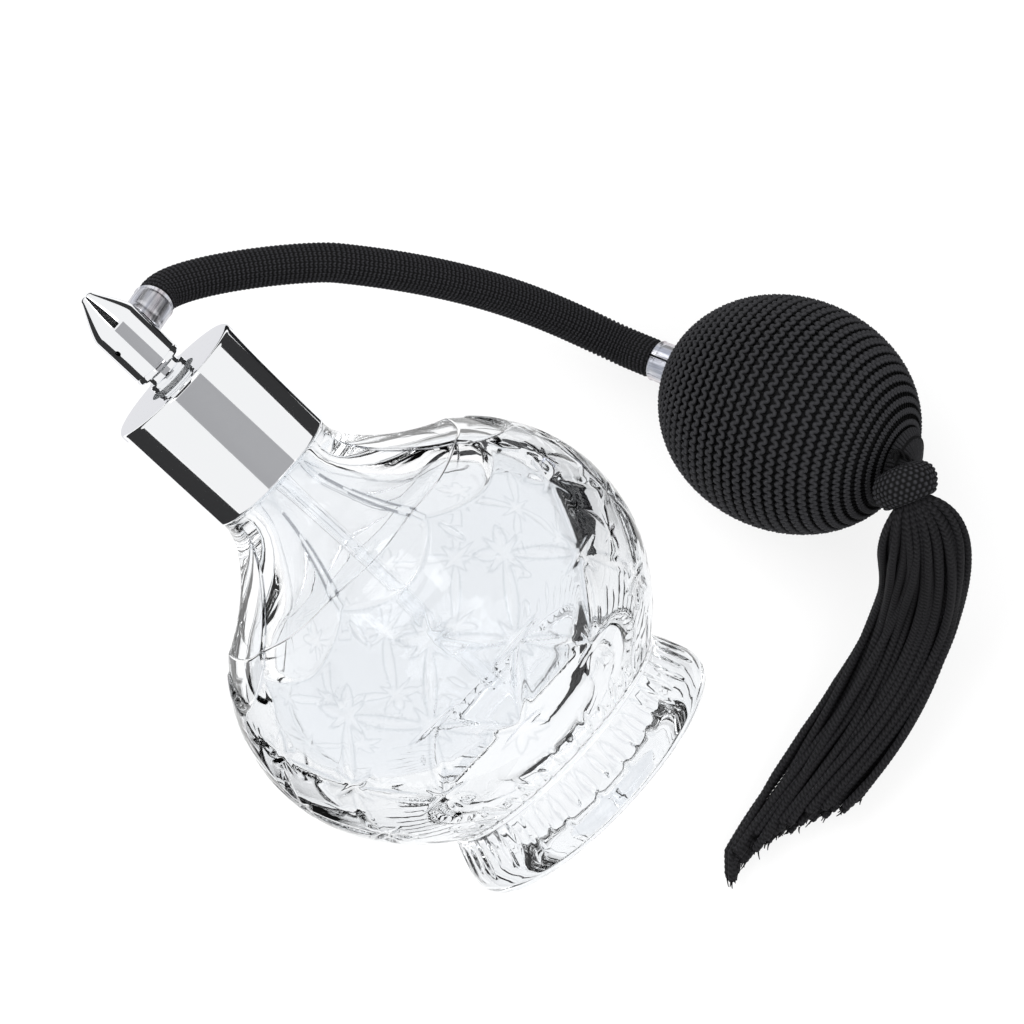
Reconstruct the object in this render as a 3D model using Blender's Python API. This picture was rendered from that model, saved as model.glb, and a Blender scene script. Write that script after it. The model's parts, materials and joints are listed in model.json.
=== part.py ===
"""Squeeze-bulb perfume atomizer, lying on a table the way it is laid down after use.

The pressed-glass bottle rests on its belly and on the rim of its foot. A chrome collar screws onto
its neck and traps the flange of the stem, so collar, stem and head rise together as the collar is
unscrewed. The bullet-shaped head turns on the stem. A knit-covered rubber hose joins it to a rubber
bulb in a knitted net, which has an intake valve and a tassel at its far end.

Sizes are in millimetres, scaled to metres as meshes are made. Turned pieces are drawn as (radius,
height) outlines in the frame of the piece they belong to: height 0 is the underside of the foot for
the bottle and head, and the middle of the bulb for everything on the bulb.
"""

import math

import bmesh
import bpy
from mathutils import Matrix, Vector

MM = 0.001

# Bottle
BELLY_R, BELLY_HALF_H, BELLY_MID = 40.0, 35.3, 40.3
CAVITY_R, CAVITY_HALF_H, CAVITY_MID = 33.0, 26.0, 43.5
FOOT_R, FOOT_RING_R, FOOT_RIM_H, DISH_DEPTH = 28.0, 17.5, 3.0, 1.6
WAIST_R, WAIST_H = 24.9, 12.6
FLARE_R, FLARE_H = 29.0, 64.6
THROAT_R, THROAT_H = 12.7, 81.2
NECK_R, NECK_BORE_R, NECK_TOP = 9.8, 6.8, 99.0

# Screw thread shared by the neck and the collar's insert
PITCH, THREAD_TURNS = 3.0, 1.5
THREAD_ROOT_W, THREAD_CREST_W = 1.3, 0.7
THREAD_DEPTH, THREAD_SINK = 1.1, 0.35
THREAD_START_H = 88.0

# Collar, stem and head
COLLAR_R, COLLAR_WALL, COLLAR_BOTTOM, COLLAR_TOP = 13.5, 0.5, 82.0, 105.8
INSERT_BORE_R, INSERT_LIP_R = 11.15, 6.0
STEM_R, STEM_BORE_R, STEM_TOP = 2.6, 1.0, 112.4
HEAD_R, HEAD_WALL, HEAD_BOTTOM, HEAD_SHOULDER, HEAD_TIP = 4.7, 0.5, 109.0, 119.8, 127.3
PORT_H = 116.4
FIT = 0.3

# Hose, with its ferrules
TUBE_BORE_R, TUBE_R, SLEEVE_BORE_R, SLEEVE_R = 2.25, 2.85, 3.1, 3.6
FERRULE_R, FERRULE_WALL = 3.75, 0.35
HEAD_FERRULE_START, HEAD_FERRULE_END = 5.0, 10.6
TUBE_IN_FERRULE, SLEEVE_CLEAR, BULB_RUN_IN = 5.2, 1.4, 4.2

# Bulb, measured from its middle along its axis
BULB_HALF_L, BULB_R = 24.9, 21.1
NET_THICKNESS, RUBBER_WALL, MOUTH_R = 0.55, 1.8, 4.1
BULB_FERRULE_START, BULB_FERRULE_END = -28.6, -22.4

# How the object lies: headings are seen from above, +X is 0 and +Y is 90 degrees
BOTTLE_HEADING, PORT_DIP = 137.5, 43.0
BULB_HEADING, BULB_TILT = -25.0, 20.0
BULB_PLACE = (61.2, 40.9)
HOSE_CREST, HOSE_CREST_HEADING, HOSE_CREST_SLOPE = (-18.8, 65.2, 42.4), -1.1, -0.54

# Tassel: its knot, then where its fringe bends to the table and where it ends
TASSEL_KNOT, TASSEL_HEADING, TASSEL_DIP = (81.9, 26.4, 37.6), -68.0, 10.0
KNOT_FLAT = 0.7
FRINGE_BEND, FRINGE_BEND_WAY = (82.4, 1.5, 13.0), (-0.36, -0.87, -0.33)
FRINGE_TIP, FRINGE_TIP_WAY = (53.5, -39.5, 3.2), (-0.68, -0.73, 0.0)
NECK_HALF_W, NECK_HALF_D = 2.4, 1.55
FRINGE_HALF_W, FRINGE_HALF_D = 8.6, 4.8

PI = math.pi
COLOURS = {
    "glass": ((0.90, 0.95, 0.97), 0.03, 0.0),
    "chrome": ((0.86, 0.87, 0.89), 0.06, 1.0),
    "ferrule_metal": ((0.80, 0.81, 0.84), 0.22, 1.0),
    "white_plastic": ((0.86, 0.87, 0.88), 0.35, 0.0),
    "clear_plastic": ((0.82, 0.85, 0.87), 0.15, 0.0),
    "gasket_rubber": ((0.16, 0.16, 0.17), 0.6, 0.0),
    "black_rubber": ((0.02, 0.02, 0.022), 0.55, 0.0),
    "black_knit": ((0.012, 0.012, 0.014), 0.9, 0.0),
    "black_cord": ((0.010, 0.010, 0.012), 0.8, 0.0),
    "steel": ((0.70, 0.71, 0.73), 0.15, 1.0),
}


# ---------- helpers ----------


def clear_scene():
    for thing in list(bpy.data.objects):
        bpy.data.objects.remove(thing)


def material(name, look):
    """The piece's own Principled BSDF, in the finish that the look names."""
    colour, roughness, metallic = COLOURS[look]
    finish = bpy.data.materials.new(name)
    finish.use_nodes = True
    shader = finish.node_tree.nodes["Principled BSDF"]
    shader.inputs["Base Color"].default_value = (*colour, 1.0)
    shader.inputs["Roughness"].default_value = roughness
    shader.inputs["Metallic"].default_value = metallic
    shader.inputs["Transmission Weight"].default_value = 1.0 if look == "glass" else 0.0
    return finish


def add(name, bm, look, parent, turn=None):
    """Turns a bmesh drawn in millimetres into a named object under its parent empty."""
    bmesh.ops.recalc_face_normals(bm, faces=bm.faces)
    bm.transform(Matrix.Scale(MM, 4) @ (turn or Matrix.Identity(4)))
    mesh = bpy.data.meshes.new(name)
    bm.to_mesh(mesh)
    bm.free()
    mesh.shade_smooth()
    mesh.set_sharp_from_angle(angle=math.radians(35))
    mesh.materials.append(material(name, look))
    thing = bpy.data.objects.new(name, mesh)
    bpy.context.scene.collection.objects.link(thing)
    thing.parent = parent
    return thing


def empty(name, matrix, parent=None):
    """A joint or assembly frame. The matrix is in millimetres, in the parent's frame."""
    mark = bpy.data.objects.new(name, None)
    mark.empty_display_size = 5 * MM
    bpy.context.scene.collection.objects.link(mark)
    mark.parent = parent
    scaled = matrix.copy()
    scaled.translation = matrix.translation * MM
    mark.matrix_basis = scaled
    return mark


def arc(centre, radii, start, end, steps):
    """Points of an elliptical arc as (radius, height), from one angle to another in degrees."""
    angles = [math.radians(start + (end - start) * i / steps) for i in range(steps + 1)]
    return [(centre[0] + radii[0] * math.cos(a), centre[1] + radii[1] * math.sin(a)) for a in angles]


def bezier(points, steps):
    """Points of a cubic curve, in two or three dimensions, without its first one."""
    p = [Vector(point) for point in points]
    found = []
    for i in range(1, steps + 1):
        t = i / steps
        s = 1 - t
        found.append(s**3 * p[0] + 3 * s * s * t * p[1] + 3 * s * t * t * p[2] + t**3 * p[3])
    return found


def lathe(outline, segments=32, closed=True):
    """Spins an outline about Z. A closed outline gives a ring, an open one starts and ends on Z."""
    bm = bmesh.new()
    verts = [bm.verts.new((r, 0, h)) for r, h in outline]
    pairs = list(zip(verts, verts[1:]))
    if closed:
        pairs.append((verts[-1], verts[0]))
    edges = [bm.edges.new(pair) for pair in pairs]
    bmesh.ops.spin(
        bm,
        geom=verts + edges,
        cent=(0, 0, 0),
        axis=(0, 0, 1),
        angle=2 * PI,
        steps=segments,
        use_merge=True,
    )
    bmesh.ops.remove_doubles(bm, verts=bm.verts, dist=0.0005)
    return bm


def ring_of(centre, across, up, half_width, half_height, sides):
    """Points of an ellipse that stands across a path."""
    found = []
    for i in range(sides):
        a = 2 * PI * i / sides
        found.append(centre + across * half_width * math.cos(a) + up * half_height * math.sin(a))
    return found


def loft(rings, cyclic=False):
    """Skins a list of rings. A cyclic skin closes on its first ring; otherwise both ends are capped."""
    bm = bmesh.new()
    loops = [[bm.verts.new(point) for point in ring] for ring in rings]
    count = len(loops[0])
    following = loops[1:] + ([loops[0]] if cyclic else [])
    for here, there in zip(loops, following):
        for i in range(count):
            j = (i + 1) % count
            bm.faces.new((here[i], here[j], there[j], there[i]))
    if not cyclic:
        bm.faces.new(loops[0])
        bm.faces.new(loops[-1])
    return bm


def frames_along(path, up=Vector((0, 0, 1))):
    """(point, across, up) at each point of a path, with across kept level."""
    found = []
    for i, point in enumerate(path):
        before, after = path[max(i - 1, 0)], path[min(i + 1, len(path) - 1)]
        along = (after - before).normalized()
        across = along.cross(up).normalized()
        found.append((point, across, across.cross(along)))
    return found


def pipe(path, outer, inner, sides):
    """A hollow pipe along a path, open at both ends."""
    frames = frames_along(path)
    out = [ring_of(*frame, outer, outer, sides) for frame in frames]
    back = [ring_of(*frame, inner, inner, sides) for frame in reversed(frames)]
    return loft(out + back, cyclic=True)


def helix_ridge(root_r, crest_r, start_h, segments=24):
    """A screw thread's ridge: a four-sided section swept up a helix, tapering out at both ends."""
    steps = int(THREAD_TURNS * segments)
    rings = []
    for i in range(steps + 1):
        a = 2 * PI * i / segments
        fade = min(1.0, i / 3 + 0.1, (steps - i) / 3 + 0.1)
        middle = start_h + PITCH * i / segments
        crest = root_r + (crest_r - root_r) * fade
        corners = (
            (root_r, -THREAD_ROOT_W / 2 * fade),
            (crest, -THREAD_CREST_W / 2 * fade),
            (crest, THREAD_CREST_W / 2 * fade),
            (root_r, THREAD_ROOT_W / 2 * fade),
        )
        rings.append([Vector((r * math.cos(a), r * math.sin(a), middle + dz)) for r, dz in corners])
    return loft(rings)


def boolean(thing, bm, name, operation, turn=None):
    """Cuts a helper shape from a piece, or joins it on. The helper stays hidden."""
    helper = add(name, bm, "steel", thing.parent, turn)
    helper.hide_render = True
    helper.display_type = "WIRE"
    change = thing.modifiers.new(name, "BOOLEAN")
    change.operation = operation
    change.solver = "EXACT"
    change.object = helper


def rod(radius, start, end, segments=16):
    """A plain bar along Z."""
    return lathe([(0, start), (radius, start), (radius, end), (0, end)], segments, closed=False)


def about_x(height):
    """Turns a shape drawn along Z so that it runs along +X at a height."""
    return Matrix.Translation((0, 0, height)) @ Matrix.Rotation(PI / 2, 4, "Y")


# ---------- how the bottle lies ----------


def foot_outline():
    """The foot from the middle of its underside to the waist."""
    dish = [(0, DISH_DEPTH), (FOOT_RING_R - 3, DISH_DEPTH), (FOOT_RING_R, 0)]
    ring_edge = FOOT_R - FOOT_RIM_H * 0.9
    rim = arc((ring_edge, FOOT_RIM_H), (FOOT_R - ring_edge, FOOT_RIM_H), -90, 0, 4)
    start, end = (FOOT_R, FOOT_RIM_H), (WAIST_R, WAIST_H)
    side = bezier([start, (FOOT_R, FOOT_RIM_H + 3), (WAIST_R + 1.4, WAIST_H - 4), end], 3)
    return dish + rim + [tuple(point) for point in side]


def belly_outline():
    """The belly, from just above the waist to where it turns in to the neck."""
    start = -math.degrees(math.asin((BELLY_MID - WAIST_H - 1.2) / BELLY_HALF_H))
    end = math.degrees(math.asin((FLARE_H - BELLY_MID) / BELLY_HALF_H))
    return arc((0, BELLY_MID), (BELLY_R, BELLY_HALF_H), start, end, 10)


def resting_tilt():
    """How far the bottle's axis rises from the table when belly and foot rim both touch it."""
    foot, belly = foot_outline(), belly_outline()

    def lowest(outline, tilt):
        return min(h * math.sin(tilt) - r * math.cos(tilt) for r, h in outline)

    low, high = math.radians(5), math.radians(45)
    for _ in range(40):
        middle = (low + high) / 2
        if lowest(foot, middle) > lowest(belly, middle):
            low = middle
        else:
            high = middle
    return low, -lowest(belly, low)


# ---------- bottle ----------


def make_bottle(frame):
    throat = bezier([(FLARE_R, FLARE_H), (22.5, 67.6), (THROAT_R, 75.2), (THROAT_R, THROAT_H)], 5)
    neck = [
        (THROAT_R, THROAT_H + 0.6),
        (NECK_R, THROAT_H + 2),
        (NECK_R, NECK_TOP - 0.5),
        (NECK_R - 0.5, NECK_TOP),
        (NECK_BORE_R + 0.5, NECK_TOP),
        (NECK_BORE_R, NECK_TOP - 0.5),
    ]
    inner_top = math.degrees(math.acos(22.0 / CAVITY_R))
    cavity = arc((0, CAVITY_MID), (CAVITY_R, CAVITY_HALF_H), inner_top, -90, 8)
    inner_throat = bezier([(NECK_BORE_R, 78), (NECK_BORE_R, 70), (14.0, 67.0), cavity[0]], 4)
    outline = foot_outline() + belly_outline() + [tuple(p) for p in throat] + neck
    outline += [(NECK_BORE_R, 78)] + [tuple(p) for p in inner_throat] + cavity[1:-1]
    outline.append((0, CAVITY_MID - CAVITY_HALF_H))
    bottle = add("bottle", lathe(outline, 32, closed=False), "glass", frame)
    ridge = helix_ridge(NECK_R - THREAD_SINK, NECK_R + THREAD_DEPTH, THREAD_START_H)
    boolean(bottle, ridge, "neck_thread", "UNION")


# ---------- stem, which the collar holds down ----------


def make_stem(frame):
    gasket = [
        (6.9, NECK_TOP + FIT),
        (9.6, NECK_TOP + FIT),
        (9.6, NECK_TOP + 1.5),
        (6.9, NECK_TOP + 1.5),
    ]
    add("neck_gasket", lathe(gasket, 24), "gasket_rubber", frame)
    flange = NECK_TOP + 1.5 + FIT
    housing = [
        (STEM_BORE_R, STEM_TOP),
        (STEM_R - 0.2, STEM_TOP),
        (STEM_R, STEM_TOP - 0.3),
        (STEM_R, STEM_TOP - 0.8),
        (STEM_R - 0.6, STEM_TOP - 0.8),
        (STEM_R - 0.6, STEM_TOP - 1.9),
        (STEM_R, STEM_TOP - 1.9),
        (STEM_R, flange + 1.8),
        (10.3, flange + 1.8),
        (10.6, flange + 1.5),
        (10.6, flange),
        (6.3, flange),
        (6.3, flange - 3),
        (3.6, flange - 4),
        (3.6, 88.0),
        (2.1, 88.0),
        (2.1, 96.0),
        (STEM_BORE_R, 96.5),
    ]
    add("stem_housing", lathe(housing, 20), "white_plastic", frame)
    tube = [(1.1, 21.0), (1.8, 21.0), (1.8, 95.5), (1.1, 95.5)]
    dip = add("dip_tube", lathe(tube, 12), "clear_plastic", frame)
    slant = Matrix.Translation((0, 0, 21)) @ Matrix.Rotation(math.radians(35), 4, "Y")
    block = bmesh.new()
    bmesh.ops.create_cube(block, size=6, matrix=slant @ Matrix.Translation((0, 0, -3.2)))
    boolean(dip, block, "dip_tube_slant", "DIFFERENCE")


# ---------- collar ----------


def make_collar(frame):
    inside = COLLAR_R - COLLAR_WALL
    hole = 5.0
    shell = [
        (hole, COLLAR_TOP),
        *arc((COLLAR_R - 0.7, COLLAR_TOP - 0.7), (0.7, 0.7), 90, 0, 3),
        *arc((COLLAR_R - 0.6, COLLAR_BOTTOM + 0.6), (0.6, 0.6), 0, -90, 3),
        (inside, COLLAR_BOTTOM + 0.2),
        (inside, COLLAR_TOP - 0.9),
        (inside - 0.4, COLLAR_TOP - COLLAR_WALL),
        (hole, COLLAR_TOP - COLLAR_WALL),
    ]
    add("collar_shell", lathe(shell, 32), "chrome", frame)
    top = COLLAR_TOP - COLLAR_WALL - FIT
    lip = NECK_TOP + 1.5 + FIT + 1.8 + FIT
    insert = [
        (INSERT_LIP_R, top),
        (inside - 1.0, top),
        (inside - FIT, top - 0.7),
        (inside - FIT, COLLAR_BOTTOM + 2.4),
        (INSERT_BORE_R, COLLAR_BOTTOM + 2.4),
        (INSERT_BORE_R, lip),
        (INSERT_LIP_R, lip),
    ]
    collar = add("collar_insert", lathe(insert, 28), "white_plastic", frame)
    start = THREAD_START_H + PITCH / 2
    ridge = helix_ridge(INSERT_BORE_R + THREAD_SINK, INSERT_BORE_R - THREAD_DEPTH, start)
    boolean(collar, ridge, "insert_thread", "UNION")


# ---------- head, with its nozzle at -X and its hose port at +X ----------


def bullet(radius, shoulder, tip, blunt):
    """The ogive nose, from shoulder to a blunt rounded tip on the axis."""
    start, end = (radius, shoulder), (blunt, tip - 0.8)
    nose = bezier([start, (radius - 0.2, shoulder + 1.6), (blunt + 0.9, tip - 2.4), end], 5)
    cap = arc((0, tip - 0.8), (blunt, 0.8), 0, 90, 3)[1:]
    return [(radius, shoulder)] + [tuple(p) for p in nose] + cap


def make_head(frame):
    outer = bullet(HEAD_R, HEAD_SHOULDER, HEAD_TIP, 1.3)
    inner = bullet(HEAD_R - HEAD_WALL, HEAD_SHOULDER - 0.1, HEAD_TIP - 0.8, 0.8)
    lip = [(HEAD_R - HEAD_WALL, HEAD_BOTTOM), (HEAD_R - 0.25, HEAD_BOTTOM), (HEAD_R, HEAD_BOTTOM + 0.3)]
    outline = inner[::-1] + lip + outer
    outline[0], outline[-1] = (0, HEAD_TIP - 0.8), (0, HEAD_TIP)
    shell = add("head_shell", lathe(outline, 24, closed=False), "chrome", frame)
    boolean(shell, rod(0.55, -7, -3), "nozzle_hole", "DIFFERENCE", about_x(PORT_H))
    boolean(shell, rod(2.3, 3, 7), "port_hole", "DIFFERENCE", about_x(PORT_H))

    ring = [
        (3.0, 106.2),
        (4.0, 106.2),
        (4.1, 106.4),
        (4.1, 107.5),
        (3.9, 107.7),
        (3.3, 107.8),
        (3.3, 108.7),
        (3.0, 108.7),
    ]
    add("head_ring", lathe(ring, 24), "chrome", frame)

    core_r = HEAD_R - HEAD_WALL - FIT
    core = [
        (0, 115.0),
        (0.9, 115.0),
        (0.9, 113.0),
        (2.95, 113.0),
        (2.95, 109.3),
        (core_r, 109.3),
        (core_r, HEAD_SHOULDER - 0.8),
        (0, HEAD_SHOULDER - 0.8),
    ]
    body = add("head_core", lathe(core, 20, closed=False), "white_plastic", frame)
    boolean(body, rod(0.7, -3.0, 3.0, 12), "core_passage", "DIFFERENCE", about_x(PORT_H))
    boolean(body, rod(1.7, -6, -2.0), "core_nozzle_seat", "DIFFERENCE", about_x(PORT_H))
    boolean(body, rod(2.0, 1.4, 6), "core_port_seat", "DIFFERENCE", about_x(PORT_H))
    boolean(body, rod(0.5, 114.6, 117.0, 12), "core_riser", "DIFFERENCE")

    nozzle = [(0.3, -2.3), (1.4, -2.3), (1.4, -3.6), (0.3, -3.6)]
    add("nozzle_insert", lathe(nozzle, 16), "steel", frame, about_x(PORT_H))
    barb = [(0.8, 1.7), (1.7, 1.7), (1.7, 5.6), (1.6, 6.2)]
    for start in (6.2, 7.8, 9.4):
        barb += [(2.05, start + 0.3), (1.6, start + 1.5)]
    barb += [(0.8, 10.9)]
    add("hose_barb", lathe(barb, 12), "steel", frame, about_x(PORT_H))
    band = ferrule(HEAD_FERRULE_START, HEAD_FERRULE_END)
    add("head_ferrule", band, "ferrule_metal", frame, about_x(PORT_H))
    oring = arc((2.45, STEM_TOP - 1.35), (0.38, 0.38), 0, 300, 5)
    add("stem_oring", lathe(oring, 18), "gasket_rubber", frame)


def ferrule(start, end):
    """A thin rolled band."""
    inside = FERRULE_R - FERRULE_WALL
    return lathe(
        [
            (inside, start),
            (FERRULE_R - 0.15, start),
            (FERRULE_R, start + 0.2),
            (FERRULE_R, end - 0.2),
            (FERRULE_R - 0.15, end),
            (inside, end),
        ],
        18,
    )


# ---------- hose ----------


def hose_path(port, bulb):
    """The hose's middle line in the rest frame: the straight length in the head's ferrule, the rise
    to the crest, the fall to the bulb, and the straight length in the bulb's ferrule."""
    leave = port.to_3x3() @ Vector((1, 0, 0))
    arrive = bulb.to_3x3() @ Vector((0, 0, 1))
    first = port @ Vector((HEAD_FERRULE_END, 0, 0))
    entry = bulb @ Vector((0, 0, BULB_FERRULE_START))
    last = entry - BULB_RUN_IN * arrive
    crest = Vector(HOSE_CREST)
    turn = math.radians(HOSE_CREST_HEADING)
    along = Vector((math.cos(turn), math.sin(turn), HOSE_CREST_SLOPE)).normalized()
    clear = first + SLEEVE_CLEAR * leave
    rise = bezier([clear, clear + 7 * leave, crest - 6 * along, crest], 6)
    fall = bezier([crest, crest + 34 * along, last - 14 * arrive, last], 9)
    start = [first - leave * TUBE_IN_FERRULE, first, clear]
    return start, rise, fall, [entry, entry + arrive * 4.8]


def make_hose(frame, port, bulb, to_frame):
    start, rise, fall, end = hose_path(port, bulb)
    tube = pipe(start + rise + fall + end, TUBE_R, TUBE_BORE_R, 12)
    add("hose_tube", tube, "black_rubber", frame, to_frame)
    free = [start[1], start[2], *rise, *fall, end[0]]
    free[0] = free[0] + (free[1] - free[0]).normalized() * FIT
    free[-1] = free[-1] + (free[-2] - free[-1]).normalized() * FIT
    add("hose_sleeve", pipe(free, SLEEVE_R, SLEEVE_BORE_R, 12), "black_knit", frame, to_frame)


# ---------- bulb ----------


def egg(inset, start, end, steps):
    """The bulb's outline, set in from its outside, from one angle to another."""
    return arc((0, 0), (BULB_R - inset, BULB_HALF_L - inset), start, end, steps)


def shell(inset, wall, steps, segments):
    """An egg-shaped skin with an open mouth at each end."""
    outside = math.degrees(math.acos(MOUTH_R / (BULB_R - inset)))
    inside = math.degrees(math.acos(MOUTH_R / (BULB_R - inset - wall)))
    return lathe(
        egg(inset, -outside, outside, steps) + egg(inset + wall, inside, -inside, steps), segments
    )


def make_bulb(frame):
    add("bulb_net", shell(0, NET_THICKNESS, 10, 22), "black_knit", frame)
    add("bulb", shell(NET_THICKNESS + FIT, RUBBER_WALL, 10, 22), "black_rubber", frame)
    add("bulb_ferrule", ferrule(BULB_FERRULE_START, BULB_FERRULE_END), "ferrule_metal", frame)

    barb = [(0.8, -33.0), (1.6, -33.0)]
    for start in (-33.0, -31.4, -29.8):
        barb += [(1.6, start + 0.2), (2.05, start + 1.4)]
    barb += [(1.6, -28.2), (1.6, -23.0), (3.0, -22.6), (3.0, -21.4), (0.8, -21.4)]
    add("bulb_barb", lathe(barb, 12), "steel", frame)

    body = [
        (2.2, 18.4),
        (5.4, 18.4),
        (5.4, 19.2),
        (3.8, 19.4),
        (3.8, 25.2),
        (3.4, 25.6),
        (0.7, 25.6),
        (0.7, 23.6),
        (2.2, 22.6),
    ]
    add("valve_body", lathe(body, 18), "steel", frame)
    keeper = [(1.0, 18.7), (1.9, 18.7), (1.9, 19.4), (1.0, 19.4)]
    add("valve_retainer", lathe(keeper, 16), "steel", frame)

    tie_r = 5.0
    tie_z = BULB_HALF_L * math.sqrt(1 - (tie_r / BULB_R) ** 2) + 0.65
    add("net_tie", lathe(arc((tie_r, tie_z), (0.4, 0.4), 0, 300, 5), 18), "black_cord", frame)


def make_valve_ball(frame):
    bm = bmesh.new()
    bmesh.ops.create_icosphere(bm, subdivisions=2, radius=1.5)
    add("valve_ball", bm, "steel", frame)


# ---------- tassel ----------


def make_tassel(frame):
    """Knot, binding and neck of the fringe, along the tassel's own axis."""
    knot = [
        (1.9, -2.9),
        (3.0, -3.1),
        (4.8, -2.3),
        (5.9, -0.4),
        (5.7, 1.6),
        (4.7, 3.2),
        (4.0, 3.4),
        (3.8, 2.8),
        (3.8, -0.6),
        (2.7, -1.8),
        (1.9, -2.1),
    ]
    flat = Matrix.Diagonal((1, KNOT_FLAT, 1, 1))
    add("tassel_knot", lathe(knot, 18), "black_cord", frame, flat)
    binding = [(2.9, -0.9), (3.4, -0.7), (3.5, 0.0), (3.5, 1.4), (3.4, 1.9), (2.9, 2.1)]
    add("tassel_binding", lathe(binding, 16), "black_cord", frame, flat)


def fringe_path(knot):
    """The middle of the bundle of cords, from inside the knot down to the table."""
    axis = knot.to_3x3() @ Vector((0, 0, 1))
    start, leave = knot @ Vector((0, 0, -1.6)), knot @ Vector((0, 0, 3.0))
    bend, bend_way = Vector(FRINGE_BEND), Vector(FRINGE_BEND_WAY).normalized()
    tip, tip_way = Vector(FRINGE_TIP), Vector(FRINGE_TIP_WAY).normalized()
    drop = bezier([leave, leave + 9 * axis, bend - 11 * bend_way, bend], 7)
    lie = bezier([bend, bend + 18 * bend_way, tip - 20 * tip_way, tip], 7)
    return [start, (start + leave) / 2, leave] + drop + lie


def fringe_rings(knot):
    """Rings along the bundle: narrow in the knot, full a little below it, thinner at the ends."""
    path = fringe_path(knot)
    frames = frames_along(path)
    rings, run = [], 0.0
    for i, (point, across, up) in enumerate(frames):
        run += (point - path[i - 1]).length if i > 2 else 0.0
        swell_w, swell_d = 1 - math.exp(-run / 4.5), 1 - math.exp(-run / 9)
        taper = 1 - 0.12 * i / len(path) - 0.35 * max(0, i - len(path) + 3) / 2
        half_w = NECK_HALF_W + (FRINGE_HALF_W - NECK_HALF_W) * swell_w
        half_d = NECK_HALF_D + (FRINGE_HALF_D - NECK_HALF_D) * swell_d
        rings.append(ring_of(point, across, up, half_w * taper, min(half_d * taper, point.z), 14))
    return rings


def make_fringe(frame, knot, to_frame):
    add("tassel_fringe", loft(fringe_rings(knot)), "black_cord", frame, to_frame)


def make_loop(frame, bulb, knot, to_frame):
    """The cord from the top of the valve body into the top of the knot."""
    start = bulb @ Vector((0, 0, 26.35))
    out = bulb.to_3x3() @ Vector((0, 0, 1))
    end = knot @ Vector((0, 0, -4.3))
    into = knot.to_3x3() @ Vector((0, 0, 1))
    path = [start] + bezier([start, start + 1.2 * out, end - 4.5 * into, end], 8)
    side = Vector((1, 0, 0))
    rings = [ring_of(*stand, 0.5, 0.5, 6) for stand in frames_along(path, side)]
    add("tassel_loop", loft(rings), "black_cord", frame, to_frame)


# ---------- assembly ----------


def place_on_origin(rest):
    """Moves the rest frame so that the middle of the object's underside is the origin."""
    bpy.context.view_layer.update()
    corners = []
    for thing in bpy.context.scene.objects:
        if thing.type == "MESH" and not thing.hide_render:
            corners += [thing.matrix_world @ vert.co for vert in thing.data.vertices]
    low = [min(corner[i] for corner in corners) for i in range(3)]
    high = [max(corner[i] for corner in corners) for i in range(3)]
    rest.location -= Vector(((low[0] + high[0]) / 2, (low[1] + high[1]) / 2, low[2]))
    bpy.context.view_layer.update()


def axes(place, heading, tilt, spin=0.0):
    """A frame whose Z points along a heading and a tilt above the table."""
    turn = Matrix.Rotation(math.radians(heading), 4, "Z") @ Matrix.Rotation(PI / 2 - tilt, 4, "Y")
    return Matrix.Translation(place) @ turn @ Matrix.Rotation(spin, 4, "Z")


def main():
    clear_scene()
    rest = empty("rest_frame", Matrix.Identity(4))

    tilt, height = resting_tilt()
    belly = axes((0, 0, 0), BOTTLE_HEADING, tilt, math.radians(PORT_DIP - 90))
    foot = Matrix.Translation((0, 0, height)) @ belly @ Matrix.Translation((0, 0, -BELLY_MID))
    foot = Matrix.Translation((0, 0, BELLY_MID * math.sin(tilt))) @ foot
    bottle_frame = empty("bottle_frame", foot, rest)
    make_bottle(bottle_frame)
    stem_frame = empty("stem_frame", Matrix.Identity(4), bottle_frame)
    make_stem(stem_frame)
    make_collar(empty("collar_axis", Matrix.Identity(4), stem_frame))
    head_frame = empty("head_axis", Matrix.Identity(4), stem_frame)
    make_head(head_frame)

    bulb_tilt = math.radians(BULB_TILT)
    bulb_height = math.hypot(BULB_HALF_L * math.sin(bulb_tilt), BULB_R * math.cos(bulb_tilt))
    bulb = axes((*BULB_PLACE, bulb_height), BULB_HEADING, bulb_tilt)
    port = foot @ Matrix.Translation((0, 0, PORT_H))
    _, rise, fall, _ = hose_path(port, bulb)
    hose_axis = Matrix.Translation(rise[len(rise) // 2 - 1])
    make_hose(empty("hose_axis", hose_axis, rest), port, bulb, hose_axis.inverted())
    wrist = Matrix.Translation(fall[2 * len(fall) // 3 - 1])
    wrist_frame = empty("bulb_axis", wrist, rest)
    bulb_frame = empty("bulb_frame", wrist.inverted() @ bulb, wrist_frame)
    make_bulb(bulb_frame)
    make_valve_ball(empty("valve_axis", Matrix.Translation((0, 0, 20.95)), bulb_frame))
    knot = axes(TASSEL_KNOT, TASSEL_HEADING, -math.radians(TASSEL_DIP), PI / 2)
    make_loop(wrist_frame, bulb, knot, wrist.inverted())
    hang = Matrix.Translation(knot @ Vector((0, 0, -3.0)))
    tassel_frame = empty("tassel_axis", hang, rest)
    make_tassel(empty("knot_frame", hang.inverted() @ knot, tassel_frame))
    make_fringe(tassel_frame, knot, hang.inverted())
    place_on_origin(rest)


main()
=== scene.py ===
"""The looks of the squeeze-bulb perfume atomizer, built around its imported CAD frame.

Shapes are worked out in millimetres in the row frame, and turned to metres as each mesh is made.
"""

import json
import math

import bpy
import numpy as np
from mathutils import Matrix, Vector


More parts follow.
